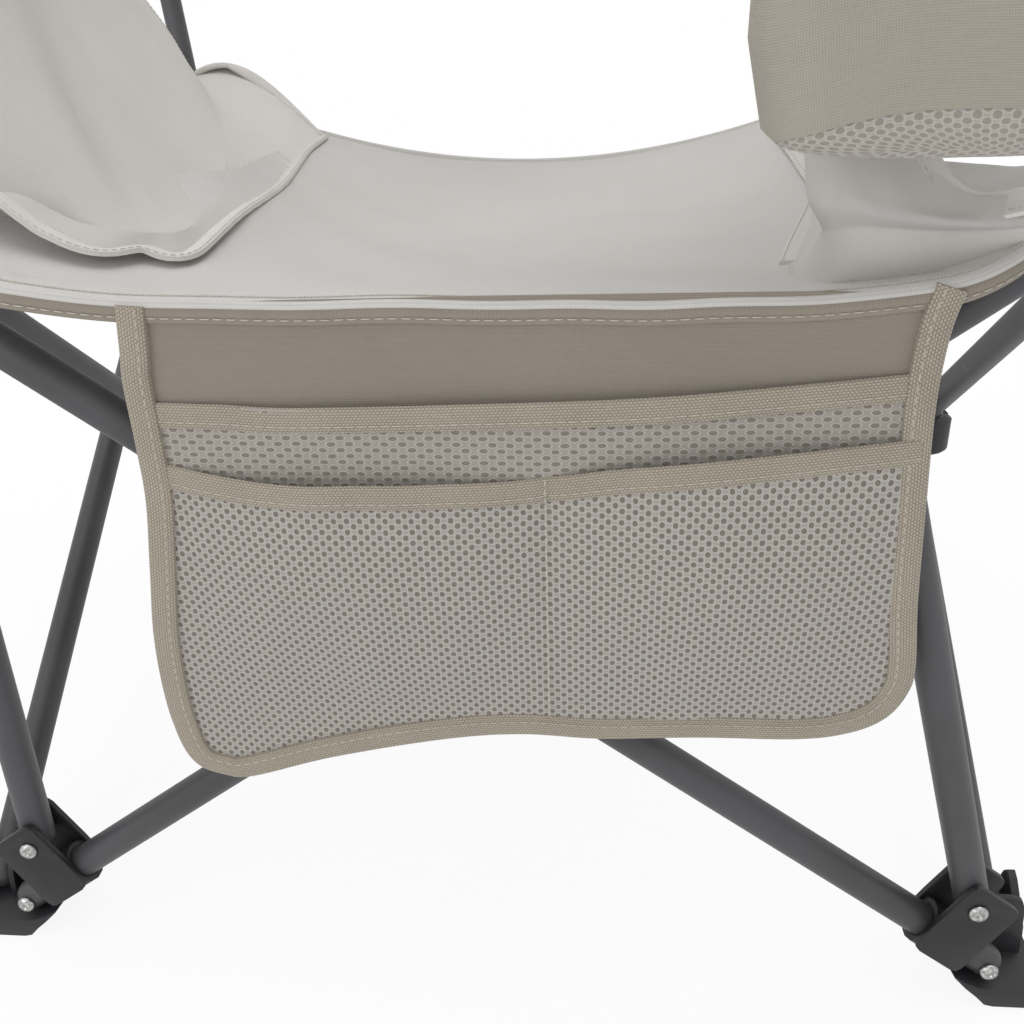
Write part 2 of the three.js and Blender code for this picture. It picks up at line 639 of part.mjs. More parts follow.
for (const [name, side] of Object.entries(sideCrossings)) {
  const { sx, outer, inner, radius, bottom, top } = side;
  const outline = [[0, bottom], [radius - hubChamfer / 2, bottom], [radius, bottom + hubChamfer / 2],
    [radius, top - hubChamfer], [radius - hubChamfer, top], [0, top]];
  const cup = new THREE.LatheGeometry(outline.map(([a, b]) => new THREE.Vector2(a, b)), hubSides);
  cup.rotateX(Math.PI / 2);
  cup.translate(sx * outer, 0, 0);
  const from = vec(...side.tube.low, lowPivotHeight);
  const to = vec(...side.tube.high, highPivotHeight);
  const innerFace = sx * (outer - tubeRadius + clearance);
  const keep = [[innerFace, -2 * radius], [sx * (outer + 2 * radius), -2 * radius],
    [sx * (outer + 2 * radius), 2 * radius], [innerFace, 2 * radius]];
  const ordered = sx > 0 ? keep : keep.reverse();
  const shell = toSolid(cup).intersect(plate('xy', ordered, bottom - overrun, top + overrun));
  const pin = [sx * (outer + radius + overrun), sx * inner].map((x) => vec(x, 0, crossingHeight));
  const fall = (2 * radius) * Math.tan(scissorAngle);
  const open = plate('yz', [[-2 * radius, crossingHeight + fall], [2 * radius, crossingHeight - fall],
    [2 * radius, crossingHeight + fall]], innerFace - sx * overrun, sx * (outer + tubeRadius + clearance));
  const bore = rod(from, to, tubeRadius + clearance, tubeSides);
  const tools = [bore, rod(...pin, headRoom, rivetSides)];
  const hub = cut(shell, side.opensUp ? [...tools, open] : tools);
  place(`side_hub_${name}`, hub, plastic);
  const ends = [outer + tubeRadius, inner - tubeRadius].map((x) => vec(sx * x, 0, crossingHeight));
  place(`crossing_rivet_${name}`, rivet(...ends), zinc);
}

// Cloth: a unit box bent onto a surface, so that each sheet is one closed body

function bentSheet(surface, thickness, across, down) {
  const geometry = new THREE.BoxGeometry(1, 1, 1, across, down, 1);
  const place3 = geometry.attributes.position;
  const step = 1e-3;
  for (let i = 0; i < place3.count; i += 1) {
    const u = place3.getX(i) + 0.5;
    const v = place3.getY(i) + 0.5;
    const here = surface(u, v);
    const alongU = surface(Math.min(u + step, 1), v).sub(surface(Math.max(u - step, 0), v));
    const alongV = surface(u, Math.min(v + step, 1)).sub(surface(u, Math.max(v - step, 0)));
    const normal = alongU.cross(alongV).normalize();
    here.addScaledVector(normal, place3.getZ(i) * thickness);
    place3.setXYZ(i, here.x, here.y, here.z);
  }
  return toSolid(geometry);
}

// A patch between four edge curves: bottom and top run front to rear, front and rear run upward
function patch(bottom, top, front, rear) {
  return (s, t) => {
    const ruledUp = bottom(s).lerp(top(s), t);
    const ruledBack = front(t).lerp(rear(t), s);
    const low = bottom(0).lerp(bottom(1), s);
    const high = top(0).lerp(top(1), s);
    return ruledUp.add(ruledBack).sub(low.lerp(high, t));
  };
}

function curve(...points) {
  const path = new THREE.CatmullRomCurve3(points, false, 'centripetal');
  return (t) => path.getPoint(t);
}

// The seat: across runs left to right, back runs from the front edge to the rear edge
function seatPoint(across, back) {
  const side = 2 * across - 1;
  const flare = Math.exp(-((back / seatFlareShare) ** 2));
  const half = lerp(seatFrontHalf, seatRearHalf, back) + (seatCornerHalf - seatFrontHalf) * flare;
  const x = seatShift * (1 - back) * (1 - Math.abs(side) * flare) + half * side;
  const front = -seatFrontReach + seatCornerPull * Math.abs(side) ** 3;
  const y = lerp(front, seatRearReach, back);
  const rise = lerp(seatFrontRise * Math.abs(side) ** 5, seatRearRise * (x / cornerHalf) ** 2, back);
  const sag = 4 * seatSag * back * (1 - back) * (1 - side ** 2);
  return vec(x, y, lerp(seatFrontHeight, seatRearHeight, back) + rise - sag);
}

const splitGapShare = clearance / (seatFrontReach + seatRearReach);
const frontLeaf = (u, v) => seatPoint(u, v * (seatSplitShare - splitGapShare));
const rearLeaf = (u, v) => seatPoint(u, lerp(seatSplitShare + splitGapShare, 1, v));
const seatFront = bentSheet(frontLeaf, clothThickness, 16, 12);
const seatRear = bentSheet(rearLeaf, clothThickness, 14, 6);
const postHoles = Object.values(posts).map((post) => {
  const seatLevel = (seatFrontHeight - post.pivot.z) / post.direction.z;
  const through = post.pivot.clone().addScaledVector(post.direction, seatLevel);
  const reach = post.direction.clone().multiplyScalar(postHole * 2);
  return rod(through.clone().sub(reach), through.clone().add(reach), postHole / 2, boreSides);
});
// The left post's hole breaks through the corner's edge, and the scrap beyond it is left out.
const seatFrontParts = cut(seatFront, postHoles).decompose();
seatFrontParts.sort((a, b) => b.volume() - a.volume());
place('seat_front', seatFrontParts[0], cloth);
place('seat_rear', seatRear, cloth);

// Side wings: from the seat's side seams up to the arms
const wingStartShare = 0.2;
const archShare = 0.35;

function wing(name, sx, post) {
  const across = sx > 0 ? 1 : 0;
  const lift = vec(sx * seamGap, 0, clothThickness + seamGap);
  const bottom = (s) => seatPoint(across, lerp(wingStartShare, 1, s)).add(lift);
  const inside = tubeRadius + 5 * clothThickness;
  const beside = (z) => post.pivot.clone()
    .addScaledVector(post.direction, (z - post.pivot.z) / post.direction.z)
    .add(vec(-sx * inside, inside, 0));
  const under = armPadThickness / 2 + 2 * seamGap;
  const fromMiddle = inside + tubeRadius / 2 + clothThickness;
  const frontCrown = armPadCrown * Math.cos(Math.PI * fromMiddle / armWidth);
  const armFront = beside(post.armLevel - under + frontCrown);
  const armRear = vec(sx * armRearOut, armRearBack, armRearHeight - under + armPadCrown);
  const front = curve(bottom(0), beside(lerp(seatFrontHeight, post.armLevel, archShare)), armFront);
  const shoulder = vec(sx * wingShoulderOut, wingBracketBack, wingShoulderHeight);
  const overBracket = highPivotHeight + bracketTop + bracketWall + clothThickness + clothGap;
  const corner = vec(sx * wingBracketOut, wingBracketBack, overBracket);
  const rear = curve(bottom(1), shoulder, corner, corner.clone().lerp(armRear, archShare), armRear);
  const top = (s) => armFront.clone().lerp(armRear, s);
  const surface = patch(bottom, top, front, rear);
  place(`seat_wing_${name}`, bentSheet(surface, clothThickness, 10, 12), cloth);
  return { armFront, armRear };
}

const arms = {
  left: wing('left', -1, posts.left),
  right: wing('right', 1, posts.right),
};

// Arm pads: padded cloth over the post tops, from the post back to the arm's rear end
for (const [name, { armRear }] of Object.entries(arms)) {
  const post = posts[name];
  const start = post.top.clone().setZ(post.armLevel);
  const end = armRear.clone().setZ(armRearHeight);
  const run = end.clone().sub(start).normalize();
  const width = vec(run.y, -run.x, 0).setLength(armWidth / 2);
  const ahead = run.clone().multiplyScalar(-armWidth / 2);
  const surface = (u, v) => {
    const point = start.clone().add(ahead).lerp(end, v).addScaledVector(width, 1 - 2 * u);
    return point.add(vec(0, 0, armPadCrown * Math.sin(Math.PI * u)));
  };
  place(`arm_pad_${name}`, bentSheet(surface, armPadThickness, 6, 8), cloth);
  arms[name].end = end;
}

// Front storage flap with its two mesh pockets
function flapPoint(across, down) {
  const left = lerp(flapTopLeft, flapBottomLeft, down);
  const right = lerp(flapTopRight, flapBottomRight, down);
  const bottom = lerp(flapBottomHeightLeft, flapBottomHeightRight, across);
  const belly = Math.sin(Math.PI * down) * flapSwing / 2;
  const back = flapSwing * down - belly - flapFront;
  return vec(lerp(left, right, across), back, lerp(flapTopHeight, bottom, down));
}

place('front_flap', bentSheet(flapPoint, clothThickness, 8, 8), cloth);

function pocket(name, drop, layer) {
  const topShare = drop / flapLengthRight;
  const widthShare = pocketMargin / (flapTopRight - flapTopLeft);
  const offset = vec(0, -clothThickness / 2 - (layer - 0.5) * pocketThickness - layer * seamGap, 0);
  const surface = (u, v) => {
    const across = lerp(widthShare, 1 - widthShare, u);
    return flapPoint(across, lerp(topShare, 1 - widthShare, v)).add(offset);
  };
  place(name, bentSheet(surface, pocketThickness, 8, 6), net);
}

pocket('pocket_upper', upperPocketDrop, 1);
pocket('pocket_lower', lowerPocketDrop, 2);

// Backrest cloth between the uprights, and the padded headrest on it
const backTopHeight = uprights.left.top.z - backTopDrop;

function backPoint(across, rise) {
  const level = lerp(backBottomHeight, backTopHeight, rise);
  const [left, right] = ['left', 'right'].map((side) => {
    const { pivot, direction } = uprights[side];
    return pivot.clone().addScaledVector(direction, (level - pivot.z) / direction.z);
  });
  const inset = (tubeRadius + seamGap) / (right.x - left.x);
  const point = left.lerp(right, lerp(inset, 1 - inset, across));
  point.y += lerp(backSagBelow, backSagAbove, rise) * Math.sin(Math.PI * across);
  return point;
}

place('back_sling', bentSheet((u, v) => backPoint(1 - u, v), clothThickness, 12, 8), cloth);

const headrestShare = headrestHeight / (backTopHeight - backBottomHeight);
const headrestSideShare = (1 - headrestWidth / (2 * uprightOut)) / 2;
place('headrest', bentSheet((u, v) => {
  const across = lerp(headrestSideShare, 1 - headrestSideShare, u);
  const point = backPoint(1 - across, lerp(1 - headrestShare, 1, v) - headrestShare / 8);
  return point.add(vec(0, -(headrestThickness + clothThickness) / 2 - 2 * seamGap, 0));
}, headrestThickness, 8, 6), cloth);

// Recline straps with their adjusters, from the rear end of each arm to the upright
for (const [name, arm] of Object.entries(arms)) {
  const { pivot, direction } = uprights[name];
  const at = pivot.clone().addScaledVector(direction, (armRearHeight - pivot.z) / direction.z);
  const beside = Math.sign(pivot.x) * (clothThickness + strapThickness);
  const start = arm.end.clone().add(vec(beside, seamGap + strapThickness, 0));
  const end = at.clone().add(vec(0, -tubeRadius - strapThickness, 0));
  const run = end.clone().sub(start);
  const length = run.length();
  run.normalize();
  const sideways = run.clone().cross(up).normalize();
  const weave = buckleThickness / 2 + strapThickness / 2 + clearance;
  const surface = (u, row) => {
    const side = 2 * row - 1;
    const v = 0.5 + lerp(side ** 3, side, strapCrowding) / 2;
    const fromMiddle = Math.abs(v - 0.5) * length;
    const slotEnd = buckleHeight / 2 - buckleBar;
    const inSlot = THREE.MathUtils.smoothstep(fromMiddle, buckleBar / 2 + clearance, slotEnd);
    const settled = THREE.MathUtils.smoothstep(fromMiddle, buckleHeight / 2 + clearance, buckleHeight);
    const offset = weave * (1 - 2 * inSlot) + weave * settled;
    const height = vec(0, 0, (u - 0.5) * strapWidth);
    return start.clone().lerp(end, v).addScaledVector(sideways, offset).add(height);
  };
  place(`recline_strap_${name}`, bentSheet(surface, strapThickness, 1, strapRows), cloth);
  const half = buckleHeight / 2;
  const wide = buckleWidth / 2;
  const frameOutline = [[-half, -wide], [half, -wide], [half, wide], [-half, wide]];
  const frameRound = rounded(frameOutline, buckleCorner, fewSteps);
  const frame = plate('xy', frameRound, -buckleThickness / 2, buckleThickness / 2);
  const slots = [-1, 1].map((side) => {
    const near = side * buckleBar / 2;
    const far = side * (half - buckleBar);
    const [from, to] = [Math.min(near, far), Math.max(near, far)];
    const slotHalf = strapWidth / 2 + clothGap;
    const outline = [[from, -slotHalf], [to, -slotHalf], [to, slotHalf], [from, slotHalf]];
    return plate('xy', outline, -buckleThickness, buckleThickness);
  });
  const facing = new THREE.Matrix4().makeBasis(run, run.clone().cross(sideways).negate(), sideways);
  facing.setPosition(start.clone().lerp(end, 0.5));
  place(`adjuster_${name}`, toSolid(moved(toGeometry(cut(frame, slots)), facing)), plastic);
}

// Pouch on the right arm: cloth body open at the top, and a mesh bottom
const pouchCorner = 10;
function pouchRing(grow, low, high) {
  const [left, right] = [pouchLeft - grow, pouchRight + grow];
  const [front, back] = [-pouchFront - grow, pouchDepth - pouchFront + grow];
  const outline = [[left, front], [right, front], [right, back], [left, back]];
  return plate('xy', rounded(outline, pouchCorner), low, high);
}

const pouchHang = posts.right.armLevel - armPadThickness / 2 - seamGap;
const pouchTop = pouchHang - pouchHanger;
const pouchBack = -pouchFront + pouchDepth;
const hangerLow = pouchTop - pouchHanger;
const hangerRight = pouchRight - pouchCorner;
const hangerOutline = [[pouchLeft + pouchCorner, hangerLow], [hangerRight, hangerLow],
  [hangerRight, pouchHang], [pouchHangerLeft, pouchHang], [pouchHangerLeft, pouchHang - pouchHanger / 2]];
const hanger = plate('xz', hangerOutline, pouchBack - pouchWall, pouchBack);
const pouchTube = pouchRing(0, pouchBottom + pouchMeshHeight + clearance, pouchTop)
  .subtract(pouchRing(-pouchWall, pouchBottom, pouchTop + overrun));
place('pouch_body', joined([pouchTube, hanger]), cloth);
const pouchNet = pouchRing(0, pouchBottom, pouchBottom + pouchMeshHeight)
  .subtract(pouchRing(-pouchWall, pouchBottom + pouchWall, pouchBottom + pouchMeshHeight + overrun));
place('pouch_net', pouchNet, net);

export default group;
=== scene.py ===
import json
import math

import bmesh
import bpy
from mathutils import Matrix, Vector, noise
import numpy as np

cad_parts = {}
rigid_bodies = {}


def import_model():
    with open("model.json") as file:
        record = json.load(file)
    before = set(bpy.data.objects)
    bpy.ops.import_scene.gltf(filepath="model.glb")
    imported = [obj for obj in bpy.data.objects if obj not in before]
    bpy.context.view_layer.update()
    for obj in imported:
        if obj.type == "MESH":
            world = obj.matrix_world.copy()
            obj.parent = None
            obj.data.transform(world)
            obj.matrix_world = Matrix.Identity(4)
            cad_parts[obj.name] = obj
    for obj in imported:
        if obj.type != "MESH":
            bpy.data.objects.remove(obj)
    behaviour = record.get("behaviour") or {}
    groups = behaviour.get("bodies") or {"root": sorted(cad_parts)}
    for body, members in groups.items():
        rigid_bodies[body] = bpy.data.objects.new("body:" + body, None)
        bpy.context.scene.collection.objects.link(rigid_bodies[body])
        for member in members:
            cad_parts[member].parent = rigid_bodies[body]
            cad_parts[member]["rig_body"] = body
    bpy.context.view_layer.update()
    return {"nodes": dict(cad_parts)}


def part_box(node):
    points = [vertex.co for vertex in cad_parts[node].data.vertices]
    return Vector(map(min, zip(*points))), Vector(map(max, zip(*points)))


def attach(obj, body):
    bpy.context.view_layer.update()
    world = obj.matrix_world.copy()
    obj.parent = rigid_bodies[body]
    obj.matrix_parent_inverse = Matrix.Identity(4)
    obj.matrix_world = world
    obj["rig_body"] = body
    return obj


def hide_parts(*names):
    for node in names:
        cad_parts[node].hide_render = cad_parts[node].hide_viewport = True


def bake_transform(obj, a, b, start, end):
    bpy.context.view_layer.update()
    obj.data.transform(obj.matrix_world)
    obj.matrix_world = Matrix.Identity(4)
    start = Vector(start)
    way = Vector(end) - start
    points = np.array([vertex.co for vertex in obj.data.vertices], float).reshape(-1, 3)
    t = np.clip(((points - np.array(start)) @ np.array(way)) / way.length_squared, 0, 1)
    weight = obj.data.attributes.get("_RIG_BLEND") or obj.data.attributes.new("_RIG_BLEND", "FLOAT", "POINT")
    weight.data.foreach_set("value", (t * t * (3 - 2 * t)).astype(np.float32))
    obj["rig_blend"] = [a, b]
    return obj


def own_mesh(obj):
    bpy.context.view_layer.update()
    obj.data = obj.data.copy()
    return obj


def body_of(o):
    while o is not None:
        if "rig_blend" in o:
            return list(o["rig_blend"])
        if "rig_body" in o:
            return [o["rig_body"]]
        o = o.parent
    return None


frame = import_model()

scene = bpy.context.scene
scene.view_settings.view_transform = "Standard"

# ---------------------------------------------------------------------------------------
# Camera
# It stands in front of the chair, a little to the right, and looks down into the seat.

camera = bpy.data.objects.new("camera", bpy.data.cameras.new("camera"))
scene.collection.objects.link(camera)
camera.data.lens = 38.35
camera.data.sensor_width = 36
camera.data.clip_start = 0.01
sight_right = Vector((0.99675, 0.07631, -0.02555))
sight_down = Vector((0.01075, -0.44081, -0.89754))
sight_ahead = Vector((-0.07975, 0.89435, -0.44020))
turn = Matrix((sight_right, -sight_down, -sight_ahead)).transposed()
camera.matrix_world = Matrix.Translation((0.05499, -0.66369, 0.44832)) @ turn.to_4x4()
scene.camera = camera

# ---------------------------------------------------------------------------------------
# Scissor tubes
# Eight drawn steel tubes, 16 mm across, with closed round ends. They are powder coated in
# dark grey, which leaves a fine orange-peel skin, and they are drilled at both ends and in
# the middle for the rivets that they turn on.


class Wire:
    """An output socket in a finish. Sums and products of wires add the Math nodes for them."""

    def __init__(self, tree, socket=None):
        self.tree = tree
        self.socket = socket

    def node(self, kind, settings=None, inputs=None, output=0):
        """Adds a node: its settings first, then its inputs' values or wires."""
        made = self.tree.nodes.new(kind)
        for name, value in (settings or {}).items():
            setattr(made, name, value)
        for name, value in (inputs or {}).items():
            if isinstance(value, Wire):
                self.tree.links.new(value.socket, made.inputs[name])
            else:
                made.inputs[name].default_value = value
        return Wire(self.tree, made.outputs[output])

    def other(self, output):
        """Another output of the node that this wire comes from."""
        return Wire(self.tree, self.socket.node.outputs[output])

    def maths(self, operation, *values):
        return self.node("ShaderNodeMath", {"operation": operation}, dict(enumerate(values)))

    def __add__(self, other):
        return self.maths("ADD", self, other)

    def __sub__(self, other):
        return self.maths("SUBTRACT", self, other)

    def __rsub__(self, other):
        return self.maths("SUBTRACT", other, self)

    def __mul__(self, other):
        return self.maths("MULTIPLY", self, other)

    def __truediv__(self, other):
        return self.maths("DIVIDE", self, other)

    def __gt__(self, other):
        return self.maths("GREATER_THAN", self, other)

    def __mod__(self, other):
        return self.maths("FLOORED_MODULO", self, other)

    __radd__ = __add__
    __rmul__ = __mul__

    def ease(self, low, high):
        """0 below low, 1 above high, and smooth between them."""
        settings = {"interpolation_type": "SMOOTHSTEP"}
        return self.node("ShaderNodeMapRange", settings, {0: self, 1: low, 2: high})

    def colours(self, low, high):
        """The colour low where this is 0, and high where it is 1."""
        inputs = {0: self, 6: low, 7: high}
        return self.node("ShaderNodeMix", {"data_type": "RGBA"}, inputs, 2)

    def relief(self, depth, strength):
        """A surface that stands out by depth, in metres, where this is 1."""
        return self.node("ShaderNodeBump", {}, {"Strength": strength, "Distance": depth, "Height": self})

    def speckle(self, scale, detail, roughness=0.5):
        """Soft noise, 0 to 1, over the places that this wire gives."""
        inputs = {"Vector": self, "Scale": scale, "Detail": detail, "Roughness": roughness}
        return self.node("ShaderNodeTexNoise", {}, inputs)


def paint(red, green, blue):
    """A colour as it reads on a screen, 0 to 255, in the shader's linear values."""
    shares = (red / 255, green / 255, blue / 255)
    return (*(((c + 0.055) / 1.055) ** 2.4 if c > 0.04 else c / 12.92 for c in shares), 1)


def finish(name, **numbers):
    """A material with its plain numbers on the shader's own sockets, and a wire to write with."""
    material = bpy.data.materials.new(name)
    material.use_nodes = True
    tree = material.node_tree
    shader = tree.nodes["Principled BSDF"]
    for socket, value in numbers.items():
        shader.inputs[socket.replace("_", " ")].default_value = value

    def fit(**wires):
        for socket, wire in wires.items():
            tree.links.new(wire.socket, shader.inputs[socket.replace("_", " ")])

    return material, Wire(tree), fit


def powder_coat(name, colour, lighter):
    """Matt polyester powder on steel: orange peel, a little dust, and a few rubbed places."""
    material, wire, fit = finish(name, Metallic=0.25, IOR=1.5)
    place = wire.node("ShaderNodeTexCoord", output=3)
    peel = place.speckle(1400, 2)
    cloud = place.speckle(14, 4)
    rub = place.speckle(160, 6, 0.7)
    rubbed = rub.ease(0.66, 0.74) * cloud.ease(0.5, 0.62)
    fit(
        Base_Color=rubbed.colours(cloud.ease(0.3, 0.7).colours(colour, lighter), paint(132, 132, 134)),
        Roughness=0.42 + cloud * 0.14 - rubbed * 0.1,
        Normal=peel.relief(0.00006, 0.5),
    )
    return material


steel_grey = powder_coat("powder_coat_grey", paint(68, 68, 69), paint(80, 80, 83))


def new_piece(name, mesh, *materials):
    piece = bpy.data.objects.new(name, mesh)
    scene.collection.objects.link(piece)
    for material in materials:
        mesh.materials.append(material)
    return piece


def placed(piece, body, slot, *nodes, fold=None):
    """Puts a piece on its body, gives it its own copy of its mesh when a fold is given, and hides the solids
    that it replaces. The slot is not used.
    """
    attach(piece, body)
    if fold:
        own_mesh(piece)
    if nodes:
        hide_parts(*nodes)


def mesh_of(name, shape):
    mesh = bpy.data.meshes.new(name)
    shape.to_mesh(mesh)
    shape.free()
    return mesh


def smoothed(mesh, degrees):
    """Shades a mesh smooth, but for the edges that turn by more than that."""
    mesh.shade_smooth()
    mesh.set_sharp_from_angle(angle=math.radians(degrees))
    return mesh


def axis_frame(low, high):
    """The direction from low to high, and two directions across it."""
    run = (high - low).normalized()
    side = run.cross(Vector((0, 0, 1)))
    side = Vector((1, 0, 0)) if side.length < 0.01 else side.normalized()
    return run, side, run.cross(side)


def turned(name, low, high, outline, sides=48):
    """A body turned on the line from low to high; outline gives (distance along, radius)."""
    run, side, rise = axis_frame(low, high)
    shape = bmesh.new()
    rings = []
    for along, radius in outline:
        middle = low + run * along
        if radius == 0:
            rings.append([shape.verts.new(middle)])
            continue
        turns = [math.tau * i / sides for i in range(sides)]
        rings.append([
            shape.verts.new(middle + (side * math.cos(a) + rise * math.sin(a)) * radius) for a in turns
        ])
    for near, far in zip(rings, rings[1:]):
        for i in range(sides):
            j = (i + 1) % sides
            corners = [near[i % len(near)], near[j % len(near)], far[j % len(far)], far[i % len(far)]]
            unique = list(dict.fromkeys(corners))
            if len(unique) > 2:
                shape.faces.new(unique)
    bmesh.ops.recalc_face_normals(shape, faces=shape.faces)
    return smoothed(mesh_of(name, shape), 40)


tube_radius = 0.008


def round_tube(name, low, high):
    """A tube with domed ends, whose round ends reach one radius past low and high."""
    length = (high - low).length
    turns = [i * math.pi / 16 for i in range(9)]
    dome = [(-tube_radius * math.cos(a), tube_radius * math.sin(a)) for a in turns]
    far = [(length - along, radius) for along, radius in reversed(dome)]
    return turned(name, low, high, dome + far)


low_level = 0.020
high_level = 0.372
scissor_tubes = {
    "front_a": ((0.241, -0.2725), (-0.241, -0.2725), "front_tube_a"),
    "front_b": ((-0.241, -0.2555), (0.241, -0.2555), "front_tube_b"),
    "rear_a": ((0.241, 0.2555), (-0.241, 0.2555), "rear_tube_a"),
    "rear_b": ((-0.241, 0.2725), (0.241, 0.2725), "rear_tube_b"),
    "right_a": ((0.250, -0.241), (0.234, 0.241), "right_tube_a"),
    "right_b": ((0.262, 0.241), (0.256, -0.241), "right_tube_b"),
    "left_a": ((-0.265, -0.241), (-0.267, 0.241), "left_tube_a"),
    "left_b": ((-0.248, 0.241), (-0.250, -0.241), "left_tube_b"),
}
for name, (low, high, body) in scissor_tubes.items():
    mesh = round_tube(f"tube_{name}", Vector((*low, low_level)), Vector((*high, high_level)))
    piece = new_piece(f"scissor_tube_{name}", mesh, steel_grey)
    placed(piece, body, "powder_coated_steel", f"x_tube_{name}")

# ---------------------------------------------------------------------------------------
# Feet, post carriers, seat brackets and hubs
# Injection-moulded black nylon. The mould leaves eased edges and a fine spark-eroded grain,
# and the pieces are riveted on the tubes.


def moulded_nylon(name, colour, worn):
    material, wire, fit = finish(name, IOR=1.5)
    place = wire.node("ShaderNodeTexCoord", output=3)
    grain = place.speckle(2600, 2)
    flow = place.speckle(26, 5, 0.6)
    dust = place.speckle(420, 5, 0.8)
    marks = dust.ease(0.60, 0.72) * flow.ease(0.42, 0.62)
    fit(
        Base_Color=marks.colours(flow.ease(0.3, 0.7).colours(colour, worn), paint(96, 96, 98)),
        Roughness=0.46 + flow * 0.16 + marks * 0.12,
        Normal=grain.relief(0.00005, 0.6),
    )
    return material


black_nylon = moulded_nylon("moulded_nylon_black", paint(22, 23, 26), paint(32, 33, 36))


def applied(piece):
    """Fixes a piece's modifiers in its mesh."""
    depsgraph = bpy.context.evaluated_depsgraph_get()
    mesh = bpy.data.meshes.new_from_object(piece.evaluated_get(depsgraph))
    piece.modifiers.clear()
    piece.data = mesh


def eased_copy(name, node, width):
    """The node's form with its edges rounded over, as they come out of a mould."""
    source = frame["nodes"][node]
    shape = bmesh.new()
    shape.from_mesh(source.data)
    bmesh.ops.remove_doubles(shape, verts=shape.verts, dist=0.00001)
    bmesh.ops.dissolve_limit(shape, angle_limit=math.radians(1), verts=shape.verts, edges=shape.edges)
    piece = new_piece(name, mesh_of(name, shape), black_nylon)
    bevel = piece.modifiers.new("eased", "BEVEL")
    bevel.width = width
    bevel.segments = 2
    bevel.limit_method = "ANGLE"
    bevel.angle_limit = math.radians(32)
    bevel.harden_normals = False
    applied(piece)
    smoothed(piece.data, 32)
    placed(piece, body_of(source)[0], "moulded_black", node)


for corner in ("front_right", "front_left", "rear_right", "rear_left"):
    eased_copy(f"shoe_{corner}", f"foot_{corner}", 0.0007)
    eased_copy(f"corner_bracket_{corner}", f"seat_bracket_{corner}", 0.0006)
for side in ("right", "left"):
    eased_copy(f"carrier_{side}", f"post_carrier_{side}", 0.0006)
    eased_copy(f"crossing_hub_{side}", f"side_hub_{side}", 0.0006)

# ---------------------------------------------------------------------------------------
# Arm posts and back uprights
# The same coated tube with the same closed ends, riveted at its foot, and a moulded cap pushed
# over the top. The right post stands leaning towards the middle, the left one upright.

right_post_lean = math.radians(15.5)
post_length = 0.585
right_post_run = Vector((-math.sin(right_post_lean), 0, math.cos(right_post_lean)))
posts = {
    "right": (Vector((0.228964, -0.2725, 0.06049)), right_post_run),
    "left": (Vector((-0.228964, -0.2555, 0.06049)), Vector((0, 0, 1))),
}
upright_length = 0.565
upright_back = math.tan(math.radians(6))
upright_out = math.tan(math.radians(6.9))
uprights = {
    "right": (Vector((0.279, 0.262, 0.355)), Vector((upright_out, upright_back, 1)).normalized()),
    "left": (Vector((-0.279, 0.262, 0.355)), Vector((-upright_out, upright_back, 1)).normalized()),
}


def tube_cap(name, node, top, run, body):
    """A moulded cap with a rolled rim, a grip ring and a domed end."""
    radius = 0.0104
    rim = [(-0.022, 0.0083), (-0.022, 0.0098), (-0.0214, radius), (-0.0190, radius), (-0.0184, 0.0099),
           (-0.0178, radius)]
    dome = [(radius * math.sin(a), radius * math.cos(a)) for a in [i * math.pi / 16 for i in range(8)]]
    mesh = turned(name, top, top + run, rim + dome + [(radius, 0)])
    placed(new_piece(name, mesh, black_nylon), body, "moulded_black", node)


for side in ("right", "left"):
    for kind, length, places, body in (
        ("arm_post", post_length, posts, f"{side}_arm"),
        ("back_upright", upright_length, uprights, f"upright_{side}"),
    ):
        foot, run = places[side]
        top = foot + run * length
        piece = new_piece(f"{kind}_tube_{side}", round_tube(f"{kind}_{side}", foot, top), steel_grey)
        placed(piece, body, "powder_coated_steel", f"{kind}_{side}")
        tube_cap(f"{kind}_end_cap_{side}", f"{kind}_cap_{side}", top, run, body)

# ---------------------------------------------------------------------------------------
# Rivets
# Semi-tubular steel rivets, bright zinc plated, with a low round head that the setting tool
# leaves a dimple in. The pins that are fast in the feet show the same heads.

zinc, wire, fit = finish("zinc_plate", Metallic=1.0)
place = wire.node("ShaderNodeTexCoord", output=3)
blur = place.speckle(700, 4)
fit(
    Base_Color=blur.ease(0.35, 0.7).colours(paint(150, 151, 150), paint(205, 206, 202)),
    Roughness=0.26 + blur * 0.2,
    Normal=place.speckle(2500, 2).relief(0.00004, 0.5),
)
# Height over the face it sits on, and radius, from the dimple out to the shank
head_outline = [(0.0012, 0), (0.0013, 0.0008), (0.0019, 0.0013), (0.0022, 0.0017), (0.0019, 0.0031),
                (0.0012, 0.0040), (0.0005, 0.0045), (0, 0.0045), (0, 0.0028)]


def rivet(name, near, far, body, *nodes):
    """A rivet with its two heads on the faces at near and far."""
    length = (far - near).length
    first = [(-height, radius) for height, radius in head_outline]
    last = [(length + height, radius) for height, radius in reversed(head_outline)]
    placed(new_piece(name, turned(name, near, far, first + last, 32), zinc), body, "zinc_rivet", *nodes)


rivet_head = 0.0022
for node, source in sorted(frame["nodes"].items()):
    if "rivet" not in node:
        continue
    low, high = [Vector(corner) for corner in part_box(node)]
    middle = (low + high) / 2
    size = high - low
    along = max(range(3), key=lambda i: size[i])
    reach = Vector((0, 0, 0))
    reach[along] = size[along] / 2 - rivet_head
    rivet(f"zinc_{node}", middle - reach, middle + reach, body_of(source)[0], node)

